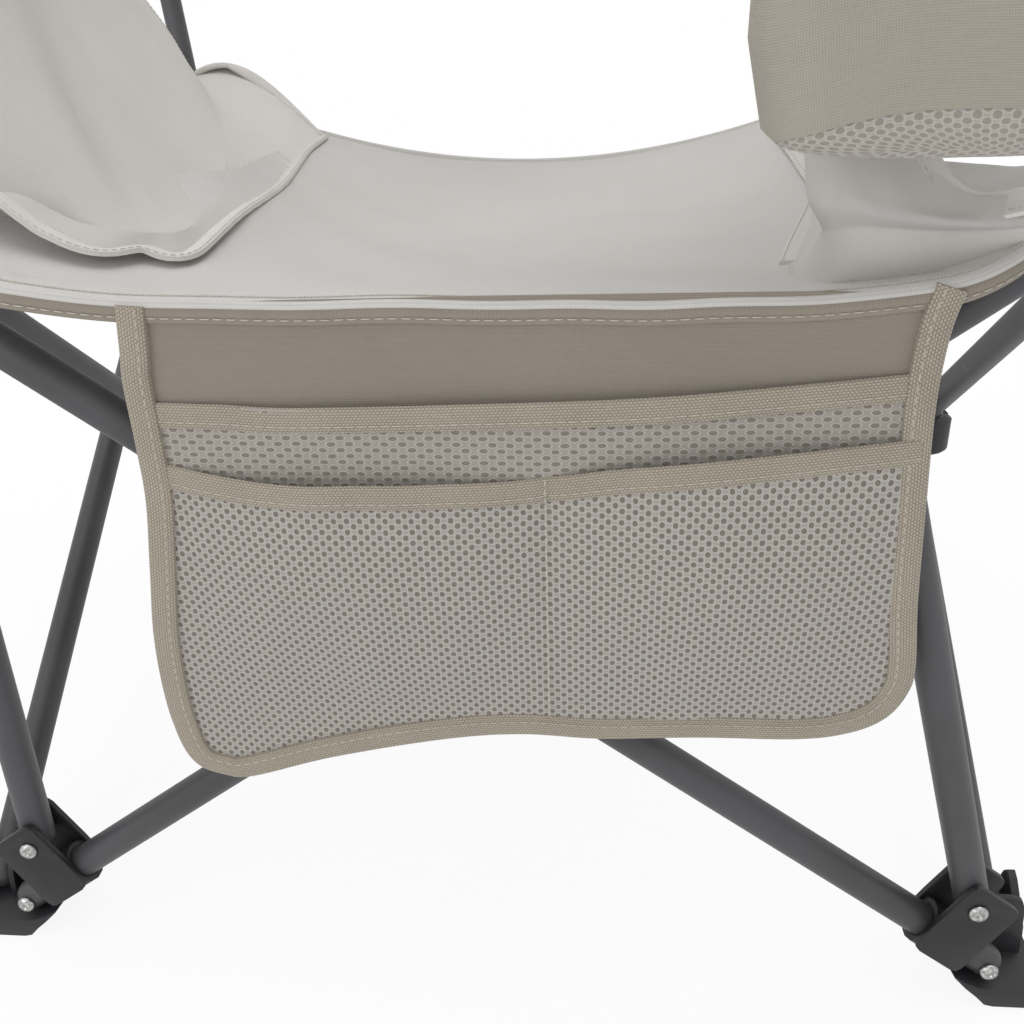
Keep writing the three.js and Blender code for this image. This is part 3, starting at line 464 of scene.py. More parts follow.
# Corner by corner: the side, the end, and how far the side tube and the front or rear tube
# stand out from the pivots; then which face of the bracket's plates looks outward.
pivot_out = 0.241
tube_gap = 0.0086
plate = 0.0030
foot_wall = 0.0040
corner_pins = {
    "front_right": (1, -1, 0.250, 0.256, 0.2555, "foot_right", "bracket_right", (1, 1)),
    "front_left": (-1, -1, 0.265, 0.250, 0.2725, "foot_left", "bracket_left", (-1, -1)),
    "rear_right": (1, 1, 0.262, 0.234, 0.2725, "rear_foot_right", "rear_bracket_right", (1, -1)),
    "rear_left": (-1, 1, 0.248, 0.267, 0.2555, "rear_foot_left", "rear_bracket_left", (1, 1)),
}
for corner, numbers in corner_pins.items():
    sx, sy, foot_out, top_out, plane, foot_body, top_body, (way, side_way) = numbers
    foot_faces = (foot_out + tube_gap + foot_wall, foot_out - tube_gap - plate)
    ends = [Vector((sx * out, sy * pivot_out, low_level)) for out in foot_faces]
    rivet(f"shoe_pin_{corner}", *ends, foot_body)
    faces = (plane - way * (tube_gap + plate), plane)
    ends = [Vector((sx * pivot_out, sy * out, high_level)) for out in faces]
    rivet(f"bracket_pin_{corner}", *ends, top_body)
    side_faces = (top_out - side_way * (tube_gap + plate), top_out)
    ends = [Vector((sx * out, sy * pivot_out, high_level)) for out in side_faces]
    rivet(f"bracket_side_pin_{corner}", *ends, top_body)

# ---------------------------------------------------------------------------------------
# Seat
# One panel of 600-denier polyester canvas, slung between the four corners and folding across
# its middle with the frame. It is cut round the two posts that pass through it.


def canvas(name, dark, light, sheen=0.15, pitch=0.0007):
    """Plain-weave canvas: each thread passes over one thread and under the next."""
    material, wire, fit = finish(
        name, Sheen_Weight=sheen, Sheen_Roughness=0.5, IOR=1.45, Specular_IOR_Level=0.12
    )
    place = wire.node("ShaderNodeUVMap")
    parts = wire.node("ShaderNodeSeparateXYZ", {}, {0: place})
    across = parts / pitch
    down = parts.other(1) / pitch
    over = ((across.maths("FLOOR", across) + down.maths("FLOOR", down)) % 2) > 0.5
    warp = across.maths("SINE", (across % 1) * math.pi)
    weft = down.maths("SINE", (down % 1) * math.pi)
    high = over * (warp * 0.6 + 0.4) * weft + (1 - over) * (weft * 0.6 + 0.4) * warp
    stretched = wire.node("ShaderNodeMapping", {}, {"Vector": place, "Scale": (90, 1400, 1)})
    slub = stretched.speckle(1, 3)
    stain = place.speckle(9, 4)
    tone = high * 0.75 + slub * 0.35 + stain * 0.3 - 0.2
    fit(
        Base_Color=tone.maths("MAXIMUM", tone, 0).colours(dark, light),
        Roughness=0.78 + slub * 0.14,
        Normal=(high + slub * 0.4).relief(0.00016, 0.7),
    )
    return material


seat_canvas = canvas("canvas_greige", paint(180, 178, 175), paint(211, 209, 206))
# The cloths' thicknesses
thick_canvas, thin_canvas, thin_mesh = 0.0013, 0.0012, 0.0004
# Where the seat's front and rear edges lie and how high, how far its front edge's middle is
# off to the right, and half its width in front, at the rear and out to its front corners
seat_front, seat_rear = -0.294, 0.228
front_level, rear_level = 0.348, 0.318
seat_shift = 0.026
half_front, half_rear, half_corner = 0.133, 0.176, 0.2265


def mix(a, b, share):
    return a + (b - a) * share


def clip(share):
    return min(max(share, 0), 1)


def arch(share):
    """0 at both ends of a length and 1 in its middle."""
    return math.sin(math.pi * share)


def hump(place, middle, width):
    """1 at the middle, and falling off on both sides of it."""
    return math.exp(-(((place - middle) / width) ** 2))


def seat_half(back):
    """Half the seat's width, which flares out at its front corners."""
    return mix(half_front, half_rear, back) + (half_corner - half_front) * hump(back, 0, 0.12)


def seat_point(across, back):
    """Middle of the cloth: across runs left to right, back from the front edge to the rear."""
    side = 2 * across - 1
    x = seat_shift * (1 - back) * (1 - abs(side) * hump(back, 0, 0.12)) + seat_half(back) * side
    drawn_back = 0.044 * (max(0, abs(side) - 0.72) / 0.28) ** 1.6
    y = mix(seat_front + drawn_back, seat_rear, back)
    front_rise, rear_rise = 0.032 * abs(side) ** 5, 0.050 * (x / pivot_out) ** 2
    rise = mix(front_rise, rear_rise, back)
    sag = 4 * 0.014 * back * (1 - back) * (1 - side ** 2)
    return Vector((x, y, mix(front_level, rear_level, back) + rise - sag))


def seat_cloth(across, back):
    """The same, with the soft pulls towards its corners and the puckers along its seams."""
    point = seat_point(across, back)
    side = 2 * across - 1
    soft = noise.noise(Vector((point.x * 9, point.y * 7, 0.4))) * 0.0016
    pulled = point.x * 0.75 + point.y
    ridges = math.sin(pulled * 62 + 1.3) * 0.0011 * (abs(side) * (1 - abs(side))) * 4
    pucker = math.sin(point.y * 330 + 5 * noise.noise(point * 30)) * 0.0005 * abs(side) ** 10
    held = min(1, back / 0.06) * min(1, (1 - back) / 0.06)
    return point + Vector((0, 0, (soft + ridges) * held * (1 - side ** 8) + pucker * held))


def cloth_sheet(name, surface, columns, rows, size, thickness, material, holes=(), upright=False):
    """A sheet of cloth on a surface. Its weave is laid by its size, or by where an upright one hangs."""
    shape = bmesh.new()
    weave = shape.loops.layers.uv.new("weave")
    points = [
        [shape.verts.new(surface(u / columns, v / rows)) for v in range(rows + 1)]
        for u in range(columns + 1)
    ]
    for u in range(columns):
        for v in range(rows):
            corners = ((u, v), (u + 1, v), (u + 1, v + 1), (u, v + 1))
            face = shape.faces.new([points[a][b] for a, b in corners])
            middle = face.calc_center_median()
            for loop, (a, b) in zip(face.loops, corners):
                spot = loop.vert.co
                loop[weave].uv = (spot.x, spot.z) if upright else (a / columns * size[0], b / rows * size[1])
            if any((middle - hole).length < radius for hole, radius in holes):
                shape.faces.remove(face)
    loose = [v for v in shape.verts if not v.link_faces]
    bmesh.ops.delete(shape, geom=loose, context="VERTS")
    piece = new_piece(name, mesh_of(name, shape), material)
    thick = piece.modifiers.new("thick", "SOLIDIFY")
    thick.thickness = thickness
    thick.offset = 0
    applied(piece)
    smoothed(piece.data, 55)
    return piece


def at_level(foot, run, level):
    """Where a leaning tube passes a level."""
    return foot + run * ((level - foot.z) / run.z)


post_hole_radius = 0.0095
post_holes = [(at_level(foot, run, front_level), post_hole_radius) for foot, run in posts.values()]
split = 0.563
leaves = {
    "front": (lambda u, v: seat_cloth(u, v * split), 150, 96, (0.36, 0.300), "seat_leaf_front"),
    "rear": (lambda u, v: seat_cloth(u, mix(split, 1, v)), 150, 76, (0.33, 0.232), "seat_leaf_rear"),
}
fold_across = {"joint": "fold", "axis": (1, 0, 0), "anchor": (0.241, 0, 0.348), "keep": 0.3}
for name, (surface, columns, rows, size, body) in leaves.items():
    cloth = (thick_canvas, seat_canvas, post_holes)
    piece = cloth_sheet(f"seat_cloth_{name}", surface, columns, rows, size, *cloth)
    placed(piece, body, "greige_canvas", f"seat_{name}", fold=fold_across)

# ---------------------------------------------------------------------------------------
# Hems of the seat
# The canvas is rolled over and under along the front edge and held by one row of long
# stitches. A whipped edge shows as a row of pale teeth along the top of the roll. The rear
# edge is turned once, 11 mm deep, and stitched.

thread_finish, wire, fit = finish("polyester_thread", Sheen_Weight=0.2, Roughness=0.6)
place = wire.node("ShaderNodeTexCoord", output=3)
twist = wire.node("ShaderNodeTexWave", {}, {"Vector": place, "Scale": 900})
fit(Base_Color=twist.colours(paint(170, 164, 153), paint(205, 200, 190)))
# The flap is sewn in under the front roll. Its canvas is the seat's canvas painted darker and warmer:
# painted shade on the hanging flap, and painted shade on the roll's underside, which takes the same tone
painted_shade_canvas = canvas("canvas_greige_painted_shade", paint(126, 118, 107), paint(158, 150, 138), 0.1)
# Rows of stitches: from one stitch to the next, a stitch's length, and the thread's radius
roll_stitch = (0.0048, 0.0040, 0.00022)
whip_stitch = (0.0011, 0.0009, 0.00034)
hem_stitch = (0.0036, 0.0029, 0.0002)
seam_stitch = (0.0034, 0.0027, 0.0002)
tape_stitch = (0.0042, 0.0035, 0.00022)
# One stitch: the share of its length, then its radius and height in radii of the thread
stitch_form = ((0, 0.35, -0.6), (0.2, 1, 0.2), (0.5, 1.1, 0.5), (0.8, 1, 0.2), (1, 0.35, -0.6))
up = Vector((0, 0, 1))


def curve(*points):
    """A smooth line through the points, as a function of 0 to 1."""
    spots = [Vector(p) for p in points]
    last = len(spots) - 1

    def at(share):
        place = clip(share) * last
        i = min(int(place), last - 1)
        part = place - i
        before, start, end, after = (spots[min(max(j, 0), last)] for j in range(i - 1, i + 3))
        pull_start, pull_end = (end - before) / 2, (after - start) / 2
        return (
            start * (1 + part * part * (2 * part - 3))
            + pull_start * (part * (1 - part) ** 2)
            + end * (part * part * (3 - 2 * part))
            - pull_end * (part * part * (1 - part))
        )

    return at


def walk(spots):
    """The way from spot to spot, with 0 to 1 spread evenly along its length."""
    reach = [0]
    for near, far in zip(spots, spots[1:]):
        reach.append(reach[-1] + (far - near).length)
    last = len(spots) - 1

    def at(share):
        wanted = share * reach[-1]
        i = next((j for j in range(1, last + 1) if reach[j] >= wanted), last)
        part = (wanted - reach[i - 1]) / max(reach[i] - reach[i - 1], 1e-9)
        return spots[i - 1] + (spots[i] - spots[i - 1]) * part

    at.length = reach[-1]
    return at


def evenly(line, steps=200):
    """The same line, with 0 to 1 spread evenly along its length."""
    return walk([line(i / steps) for i in range(steps + 1)])


def heading(line, share, step):
    """Which way the line runs at share."""
    return (line(min(1, share + step)) - line(max(0, share - step))).normalized()


def beside(station, across_by, above_by):
    """The line that lies so far across and above the stations of (point, across, above)."""
    def at(share):
        point, across, above = station(share)
        return point + across * across_by + above * above_by
    return evenly(at)


def new_sewing():
    shape = bmesh.new()
    shape.loops.layers.uv.new("weave")
    return shape


def strip(shape, stations, section, second=()):
    """Carries a closed section of (across, above) along stations of (point, across, above).

    The sides of the section that are named in second take the third material."""
    weave = shape.loops.layers.uv.verify()
    rings = []
    along = [0]
    for i, (point, across, above) in enumerate(stations):
        rings.append([shape.verts.new(point + across * a + above * h) for a, h in section])
        if i:
            along.append(along[-1] + (point - stations[i - 1][0]).length)
    count = len(section)
    for i in range(len(rings) - 1):
        for j in range(count):
            k = (j + 1) % count
            face = shape.faces.new((rings[i][j], rings[i][k], rings[i + 1][k], rings[i + 1][j]))
            face.material_index = 2 if j in second else 0
            for loop, (ring, spot) in zip(face.loops, ((i, j), (i, k), (i + 1, k), (i + 1, j))):
                loop[weave].uv = (along[ring], section[spot][0] + 0.5)
    shape.faces.new(list(reversed(rings[0])))
    shape.faces.new(rings[-1])


def stitch_row(shape, line, above, pitch, length, radius, material, lift=0.0002):
    """One row of sewing: a short thread for each stitch, sunk at both ends."""
    count = max(1, int(line.length / pitch))
    for i in range(count):
        start = line((i + 0.1) / count)
        end = line((i + 0.1 + length / pitch * 0.9) / count)
        run = (end - start).normalized()
        rise = above(i / count)
        side = run.cross(rise).normalized()
        rings = []
        for share, size, height in stitch_form:
            middle = start.lerp(end, share) + rise * (lift + radius * height)
            rings.append([
                shape.verts.new(middle + (side * math.cos(a) + rise * math.sin(a)) * radius * size)
                for a in (math.tau * k / 5 for k in range(5))
            ])
        for near, far in zip(rings, rings[1:]):
            for j in range(5):
                k = (j + 1) % 5
                shape.faces.new((near[j], near[k], far[k], far[j])).material_index = material
        shape.faces.new(list(reversed(rings[0]))).material_index = material
        shape.faces.new(rings[-1]).material_index = material


def sewn_piece(name, shape, *materials):
    bmesh.ops.recalc_face_normals(shape, faces=shape.faces)
    return new_piece(name, smoothed(mesh_of(name, shape), 60), *materials)


hem_steps = 260


def hem_station(across):
    """A point of the seat's front edge, the way out from it, and the way up."""
    run = heading(lambda s: seat_point(s, 0), across, 0.004)
    middle = 4 * across * (1 - across)
    ripple = (math.sin(across * 47 + 1) * 0.0003 + math.sin(across * 19) * 0.0003) * middle
    out = run.cross(up).normalized()
    return seat_point(across, 0) + up * ripple, out, run.cross(-out).normalized()


shape = new_sewing()
roll = [
    (-0.012, 0.0004), (-0.002, 0.0018), (0.0012, 0.0014), (0.0030, 0.0002), (0.0040, -0.0020),
    (0.0042, -0.0046), (0.0036, -0.0074), (0.0030, -0.0080), (0.0026, -0.0074), (0.0029, -0.0044),
    (0.0018, -0.0012), (-0.002, -0.0004), (-0.012, -0.0006),
]
# The roll's lower faces take the flap's darker canvas: painted shade under the roll
strip(shape, [hem_station(i / hem_steps) for i in range(hem_steps + 1)], roll, (4, 5, 6, 7, 8))
stitch_row(shape, beside(hem_station, 0.0040, -0.0058), lambda s: hem_station(s)[1], *roll_stitch, 1)
stitch_row(shape, beside(hem_station, 0.0008, 0.0016), lambda s: hem_station(s)[2], *whip_stitch, 1)
piece = sewn_piece("seat_front_hem", shape, seat_canvas, thread_finish, painted_shade_canvas)
placed(piece, "seat_leaf_front", "greige_canvas", fold=fold_across)


def rear_station(across):
    """A point of the seat's rear edge, the way out from it, and the way up."""
    run = heading(lambda s: seat_point(s, 1), across, 0.004)
    lean = (seat_point(across, 1) - seat_point(across, 0.97)).normalized()
    return seat_point(across, 1), lean, run.cross(lean).normalized()


shape = new_sewing()
turned_hem = [
    (-0.011, 0.0008), (-0.0104, 0.0018), (-0.001, 0.0019), (0.0012, 0.0011), (0.0016, 0),
    (0.0012, -0.0011), (-0.011, -0.0012),
]
strip(shape, [rear_station(i / 160) for i in range(161)], turned_hem)
stitch_row(shape, beside(rear_station, -0.0095, 0.0018), lambda s: rear_station(s)[2], *hem_stitch, 1)
piece = sewn_piece("seat_rear_hem", shape, seat_canvas, thread_finish)
placed(piece, "seat_leaf_rear", "greige_canvas", fold=fold_across)

# ---------------------------------------------------------------------------------------
# Side wings
# Canvas panels from the seat's side seams up to the arms. The left one lies flat along the
# seat before it turns up; the right one is drawn round the front of its post. Their lower
# edges are felled to the seat with two rows of stitches.

# The wings' canvas is the seat's canvas painted lighter: painted light that makes up for the shade on the
# steep wing panels, their seams and hems
lit_wing_canvas = canvas("canvas_greige_wings_painted_light", paint(190, 187, 183), paint(222, 219, 215))


def seat_level(point):
    """The point, moved straight up or down onto the seat's cloth or its side carried on outward."""
    back = clip((point.y - seat_front) / (seat_rear - seat_front))
    side = min(max((point.x - seat_shift * (1 - back)) / seat_half(back), -1), 1)
    return Vector((point.x, point.y, seat_cloth((side + 1) / 2, back).z))


left_seam = curve(
    (-0.2331, -0.2436, 0.3740), (-0.1795, -0.2538, 0.3577), (-0.1416, -0.2577, 0.3560),
    (-0.1261, -0.2449, 0.3555), (-0.1085, -0.2353, 0.3510), (-0.1096, -0.1573, 0.3455),
    (-0.1256, -0.0374, 0.3405), (-0.1474, 0.0957, 0.3405), (-0.1591, 0.2001, 0.3440),
)
left_turn = curve(
    (-0.2240, -0.2480, 0.3800), (-0.1800, -0.2380, 0.3680), (-0.1420, -0.2400, 0.3630),
    (-0.1240, -0.2360, 0.3600), (-0.1150, -0.2150, 0.3590), (-0.1360, -0.1084, 0.3600),
    (-0.1790, 0.0300, 0.3660), (-0.2270, 0.1500, 0.3780), (-0.2620, 0.2235, 0.3876),
)
left_arm_line = (Vector((-0.2100, -0.2380, 0.6510)), Vector((-0.2860, 0.0600, 0.6420)))
left_front = curve(
    (-0.2240, -0.2480, 0.3800), (-0.2130, -0.2400, 0.4600), (-0.2080, -0.2370, 0.5600), left_arm_line[0]
)
left_rear = curve(
    (-0.2620, 0.2235, 0.3876), (-0.2750, 0.1850, 0.4400), (-0.2850, 0.1300, 0.5200), left_arm_line[1]
)
turn_share = 0.2


def coons(bottom, top, front, rear):
    """A surface between four edges that meet at its corners."""
    def at(s, t):
        ruled_up = bottom(s).lerp(top(s), t)
        ruled_back = front(t).lerp(rear(t), s)
        return ruled_up + ruled_back - bottom(0).lerp(bottom(1), s).lerp(top(0).lerp(top(1), s), t)
    return at


left_upper = coons(
    left_turn, lambda s: left_arm_line[0].lerp(left_arm_line[1], s), left_front, left_rear
)


def laid_then_lifted(seam, turn_line, s, part, lift=0.0017):
    """The lower strip of a wing: flat on the seat at its seam, and lifting to its turn."""
    low, high = seat_level(seam(s)), turn_line(s)
    point = seat_level(low.lerp(high, part))
    if s > 0.9:
        point = point.lerp(low.lerp(high, part), (s - 0.9) / 0.1)
    bulge = 0.016 * arch(part) * max(0, s - 0.8) / 0.2
    point.z = mix(point.z + lift, high.z, part ** 2.2) + bulge
    return point


def left_wing(s, t):
    if t < turn_share:
        return laid_then_lifted(left_seam, left_turn, s, t / turn_share)
    part = (t - turn_share) / (1 - turn_share)
    point = left_upper(s, part)
    slack = arch(part) * arch(s)
    fold = hump(s + part * 0.10, 0.84, 0.035) * 0.005 - hump(s + part * 0.25, 0.66, 0.05) * 0.004
    wave = noise.noise(Vector((s * 5, part * 4, 1.7))) * 0.006
    return point + Vector((-0.014 * slack + (fold + wave) * arch(min(1, part * 1.6)), 0, -0.010 * slack))


right_seam = curve(
    (0.2522, -0.2107, 0.3800), (0.2053, -0.2698, 0.3615), (0.1605, -0.2780, 0.3555),
    (0.1278, -0.2710, 0.3530), (0.1275, -0.2361, 0.3515), (0.1495, -0.1606, 0.3475),
    (0.1581, -0.0674, 0.3440), (0.1685, 0.0889, 0.3430), (0.1804, 0.2367, 0.3455),
)
right_turn = curve(
    (0.2300, -0.2520, 0.3810), (0.2050, -0.2790, 0.3700), (0.1700, -0.2860, 0.3690),
    (0.1430, -0.2850, 0.3700), (0.1330, -0.2660, 0.3650), (0.1550, -0.2000, 0.3600),
    (0.1800, -0.1000, 0.3580), (0.2100, 0.0500, 0.3660), (0.2620, 0.2235, 0.3876),
)
right_arm_line = curve(
    (0.0890, -0.2850, 0.6310), (0.0830, -0.2868, 0.6310), (0.0747, -0.2880, 0.6310),
    (0.0640, -0.2830, 0.6310), (0.0610, -0.2725, 0.6310), (0.0700, -0.2500, 0.6320),
    (0.1150, -0.1800, 0.6340), (0.1950, -0.0650, 0.6370), (0.2860, 0.0600, 0.6420),
)
right_front = curve(
    (0.2300, -0.2520, 0.3810), (0.1980, -0.2750, 0.3800), (0.1770, -0.2820, 0.3800),
    (0.1620, -0.2840, 0.3950), (0.1460, -0.2850, 0.4350), (0.1240, -0.2855, 0.5200),
    (0.0890, -0.2850, 0.6310),
)
right_rear = curve(
    (0.2620, 0.2235, 0.3876), (0.2750, 0.1850, 0.4400), (0.2850, 0.1300, 0.5200),
    (0.2860, 0.0600, 0.6420),
)
right_upper = coons(right_turn, right_arm_line, right_front, right_rear)


def right_wing(s, t):
    if t < turn_share:
        shown = clip((s - 0.36) / 0.12)
        return laid_then_lifted(right_seam, right_turn, s, t / turn_share, mix(-0.0022, 0.0017, shown))
    part = (t - turn_share) / (1 - turn_share)
    slack = arch(part) * max(0, arch((s - 0.5) / 0.5)) if s > 0.5 else 0
    wave = noise.noise(Vector((s * 6, part * 4, 5.1))) * 0.004 * arch(part) * clip((s - 0.5) * 4)
    hug = arch(part) * hump(s, 0.42, 0.16)
    opened = arch(min(1, part * 1.1)) * hump(s, 0.70, 0.14)
    return right_upper(s, part) + Vector((0.012 * slack + wave + 0.018 * hug + 0.022 * opened, 0, 0))


def edging(name, stations, section, materials, rows=(), stitch=hem_stitch, lift=0.0002):
    """A strip along stations, sewn down by rows of stitches that lie (across, above) them."""
    shape = new_sewing()
    strip(shape, stations, section)
    last = len(stations) - 1

    def station(share):
        i = int(share * last)
        point, across, above = stations[i]
        return point.lerp(stations[min(last, i + 1)][0], share * last % 1), across, above

    for across_by, above_by in rows:
        face = math.copysign(1, above_by)
        line = beside(station, across_by, above_by)
        stitch_row(shape, line, lambda s: station(s)[2] * face, *stitch, 1, lift)
    return sewn_piece(name, shape, *materials)


wing_folds = {
    "left": {"joint": "fold", "axis": (0, 1, 0), "anchor": (0, -0.2555, 0.5), "keep": 0.3},
    "right": {"joint": "fold", "axis": (0, 1, 0), "anchor": (0, -0.2725, 0.5), "keep": 0.3},
}
size = (0.62, 0.40)
welt = [
    (-0.0042, -0.0012), (-0.0040, 0.0006), (-0.0020, 0.0010), (0.0020, 0.0010), (0.0040, 0.0006),
    (0.0042, -0.0012),
]
turned_edge = [
    (-0.0010, 0), (-0.0006, 0.0010), (0.0110, 0.0012), (0.0114, 0.0006), (0.0114, -0.0006),
    (0.0110, -0.0012), (-0.0006, -0.0010),
]
for side, surface, start in (("left", left_wing, 0.0), ("right", right_wing, 0.5)):
    arm, fold = f"{side}_arm", wing_folds[side]
    piece = cloth_sheet(f"wing_cloth_{side}", surface, 130, 90, size, thin_canvas, lit_wing_canvas)
    placed(piece, arm, "greige_canvas", f"seat_wing_{side}", fold=fold)

    # The seam along its lower edge, which the right wing has only behind its post
    line = evenly(lambda s: surface(mix(start, 1, s), 0) + Vector((0, 0, 0.0004)))
    steps = 200
    stations = []
    for i in range(steps + 1):
        run = heading(line, i / steps, 1 / steps)
        out = run.cross(up).normalized()
        stations.append((line(i / steps), out, out.cross(run).normalized()))
    shape = new_sewing()
    strip(shape, stations, welt)
    for offset in (-0.0030, 0.0030):
        row = evenly(lambda s: line(s) + stations[int(s * steps)][1] * offset + up * 0.0009)
        stitch_row(shape, row, lambda s: up, *seam_stitch, 1)
    piece = sewn_piece(f"wing_seam_{side}", shape, lit_wing_canvas, thread_finish)
    placed(piece, arm, "greige_canvas", fold=fold)

    # The turned hems of its front and rear edges
    for end, edge in (("front", 0), ("rear", 1)):
        border = evenly(lambda t: surface(edge, t))
        stations = []
        for i in range(121):
            share = i / 120
            run = heading(border, share, 0.01)
            inner = surface(abs(edge - 0.03), share) - surface(edge, share)
            inner = (inner - run * inner.dot(run)).normalized()
            stations.append((border(share), inner, run.cross(inner).normalized()))
        rows = ((0.0095, 0.0011), (0.0095, -0.0011))
        name = f"wing_hem_{end}_{side}"
        piece = edging(name, stations, turned_edge, (lit_wing_canvas, thread_finish), rows)
        placed(piece, arm, "greige_canvas", fold=fold)

# ---------------------------------------------------------------------------------------
# Front flap and its pockets
# A canvas panel that hangs from the seat's front edge. Ribbed polyester tape is folded over
# its sides and lower edge and stitched. Two pockets of white knitted mesh lie one in front
# of the other, each with the same tape along its mouth, and a seam halves the lower one.


def ribbed_tape(name, dark, light, along=0.00145, across=0.00105):
    """Woven tape: rows of small raised floats, every other column half a row on."""
    material, wire, fit = finish(
        name, Sheen_Weight=0.15, Sheen_Roughness=0.5, IOR=1.45, Specular_IOR_Level=0.3
    )
    place = wire.node("ShaderNodeUVMap")
    parts = wire.node("ShaderNodeSeparateXYZ", {}, {0: place})
    column = parts.other(1) / across
    shift = (column.maths("FLOOR", column) % 2) * 0.5
    row = parts / along + shift
    bead = row.maths("SINE", (row % 1) * math.pi) * column.maths("SINE", (column % 1) * math.pi)
    bead = bead.maths("POWER", bead, 0.6)
    lint = place.speckle(700, 3)
    cloud = place.speckle(40, 3)
    tone = bead * 0.75 + lint * 0.35 + cloud * 0.25 - 0.2
    fit(
        Base_Color=tone.maths("MAXIMUM", tone, 0).colours(dark, light),
        Roughness=0.72 + lint * 0.16,
        Normal=(bead + lint * 0.15).relief(0.0004, 0.8),
    )
    return material


def knitted_mesh(name, yarn, ring, lit_hole_fill, column=0.0049, row=0.0046, hole=(0.00105, 0.00125)):
    """Knitted mesh: round holes in staggered rows, each with a raised ring of yarn. The holes are partly
    filled with a flat pale tone, painted light that lifts the shade seen through them.
    """
    material, wire, fit = finish(name, Sheen_Weight=0.2, Roughness=0.7)
    place = wire.node("ShaderNodeUVMap")
    parts = wire.node("ShaderNodeSeparateXYZ", {}, {0: place})
    wobble = place.speckle(120, 1) * 0.16
    across = parts / column + wobble
    down = parts.other(1) / row + wobble

    def far_from(shift):
        x = ((across + shift) % 1 - 0.5) * (column / hole[0])
        y = ((down + shift) % 1 - 0.5) * (row / hole[1])
        return x.maths("SQRT", x * x + y * y)

    near = across.maths("MINIMUM", far_from(0), far_from(0.5))
    rim = 1 - near.ease(1.15, 1.7)
    yarns = place.speckle(2400, 2)
    tone = (rim * 0.7 + yarns * 0.5 - 0.1).colours(yarn, ring)
    fit(
        # In the holes, a flat pale tone, partly opaque: painted light over the shade behind the mesh
        Base_Color=near.ease(0.85, 1.05).colours(paint(150, 142, 131), tone),
        Alpha=near.ease(0.92, 1.06) * (1 - lit_hole_fill) + lit_hole_fill,
        Normal=(rim + yarns * 0.5).relief(0.0002, 0.7),
    )
    return material


tape = ribbed_tape("ribbed_tape_greige", paint(122, 112, 98), paint(190, 181, 166))
mesh_knit = knitted_mesh("knitted_mesh_white", paint(150, 144, 137), paint(182, 178, 173), 0.5)
strip_knit = knitted_mesh(
    "knitted_mesh_stretched", paint(147, 140, 132), paint(176, 171, 164), 0.6,
    0.0066, 0.0049, (0.0016, 0.00095),
)

flap_left = [
    (-0.1161, 0.3480), (-0.1172, 0.3312), (-0.1182, 0.3198), (-0.1177, 0.2962), (-0.1181, 0.2713),
    (-0.1225, 0.2404), (-0.1275, 0.2073), (-0.1293, 0.1729), (-0.1274, 0.1516), (-0.1215, 0.1384),
]
flap_bottom = [
    (-0.1102, 0.1330), (-0.0970, 0.1326), (-0.0596, 0.1445), (-0.0112, 0.1556), (0.0229, 0.1596),
    (0.0563, 0.1583), (0.0975, 0.1604), (0.1383, 0.1610), (0.1594, 0.1655),
]
flap_right = [
    (0.1723, 0.1742), (0.1789, 0.1878), (0.1796, 0.2014), (0.1757, 0.2325), (0.1725, 0.2745),
    (0.1707, 0.3129), (0.1721, 0.3378), (0.1754, 0.3512),
]
flap_plane = -0.2957
flap_top, flap_drop = 0.349, 0.19
forward = Vector((0, -1, 0))


def flap_depth(x, z):
    """Where the flap hangs: it bellies a little forward and ripples."""
    down = clip((flap_top - z) / flap_drop)
    ripple = noise.noise(Vector((x * 16, z * 11, 2.2))) * 0.0016 * arch(down)
    return flap_plane + 0.008 * down - 0.004 * arch(down) + ripple


def on_flap(spot, ahead=0.0):
    """The spot, moved to the flap's face or so far ahead of it."""
    return Vector((spot.x, flap_depth(spot.x, spot.z) - ahead, spot.z))


def flap_curve(points):
    """A smooth line on the flap, through points of (across, up)."""
    return curve(*((x, 0, z) for x, z in points))


flap_net = coons(
    flap_curve([flap_left[0], (0.0250, 0.3501), flap_right[-1]]),
    flap_curve([flap_left[-1]] + flap_bottom + [flap_right[0]]),
    flap_curve(flap_left),
    flap_curve(flap_right[::-1]),
)


def flap_cloth(s, t):
    inset = 0.012
    return on_flap(flap_net(mix(inset, 1 - inset, s), mix(0, 1 - inset, t)))


flap_fold = {"joint": "fold", "axis": (1, 0, 0), "anchor": (0.241, -0.2957, 0.34), "keep": 0.3}


def hung_on_flap(piece, slot, *nodes):
    placed(piece, "bracket_right", slot, *nodes, fold=flap_fold)


# The flap's canvas is painted darker and warmer than the seat's: painted shade on the hanging cloth
flap_piece = cloth_sheet(
    "flap_cloth", flap_cloth, 120, 90, (0.285, 0.195), thin_canvas, painted_shade_canvas, upright=True
)
hung_on_flap(flap_piece, "greige_canvas", "front_flap")

# Tape round the flap's edge, folded over it
outline = evenly(flap_curve(flap_left + flap_bottom + flap_right), 600)


def inward(line, share, step):
    """The way square to a line on the flap, to the left of it."""
    run = heading(line, share, step)
    return Vector((-run.z, 0, run.x))


steps = 420
turn_step = 0.004
stations = [
    (on_flap(outline(i / steps)), inward(outline, i / steps, turn_step), forward)
    for i in range(steps + 1)
]
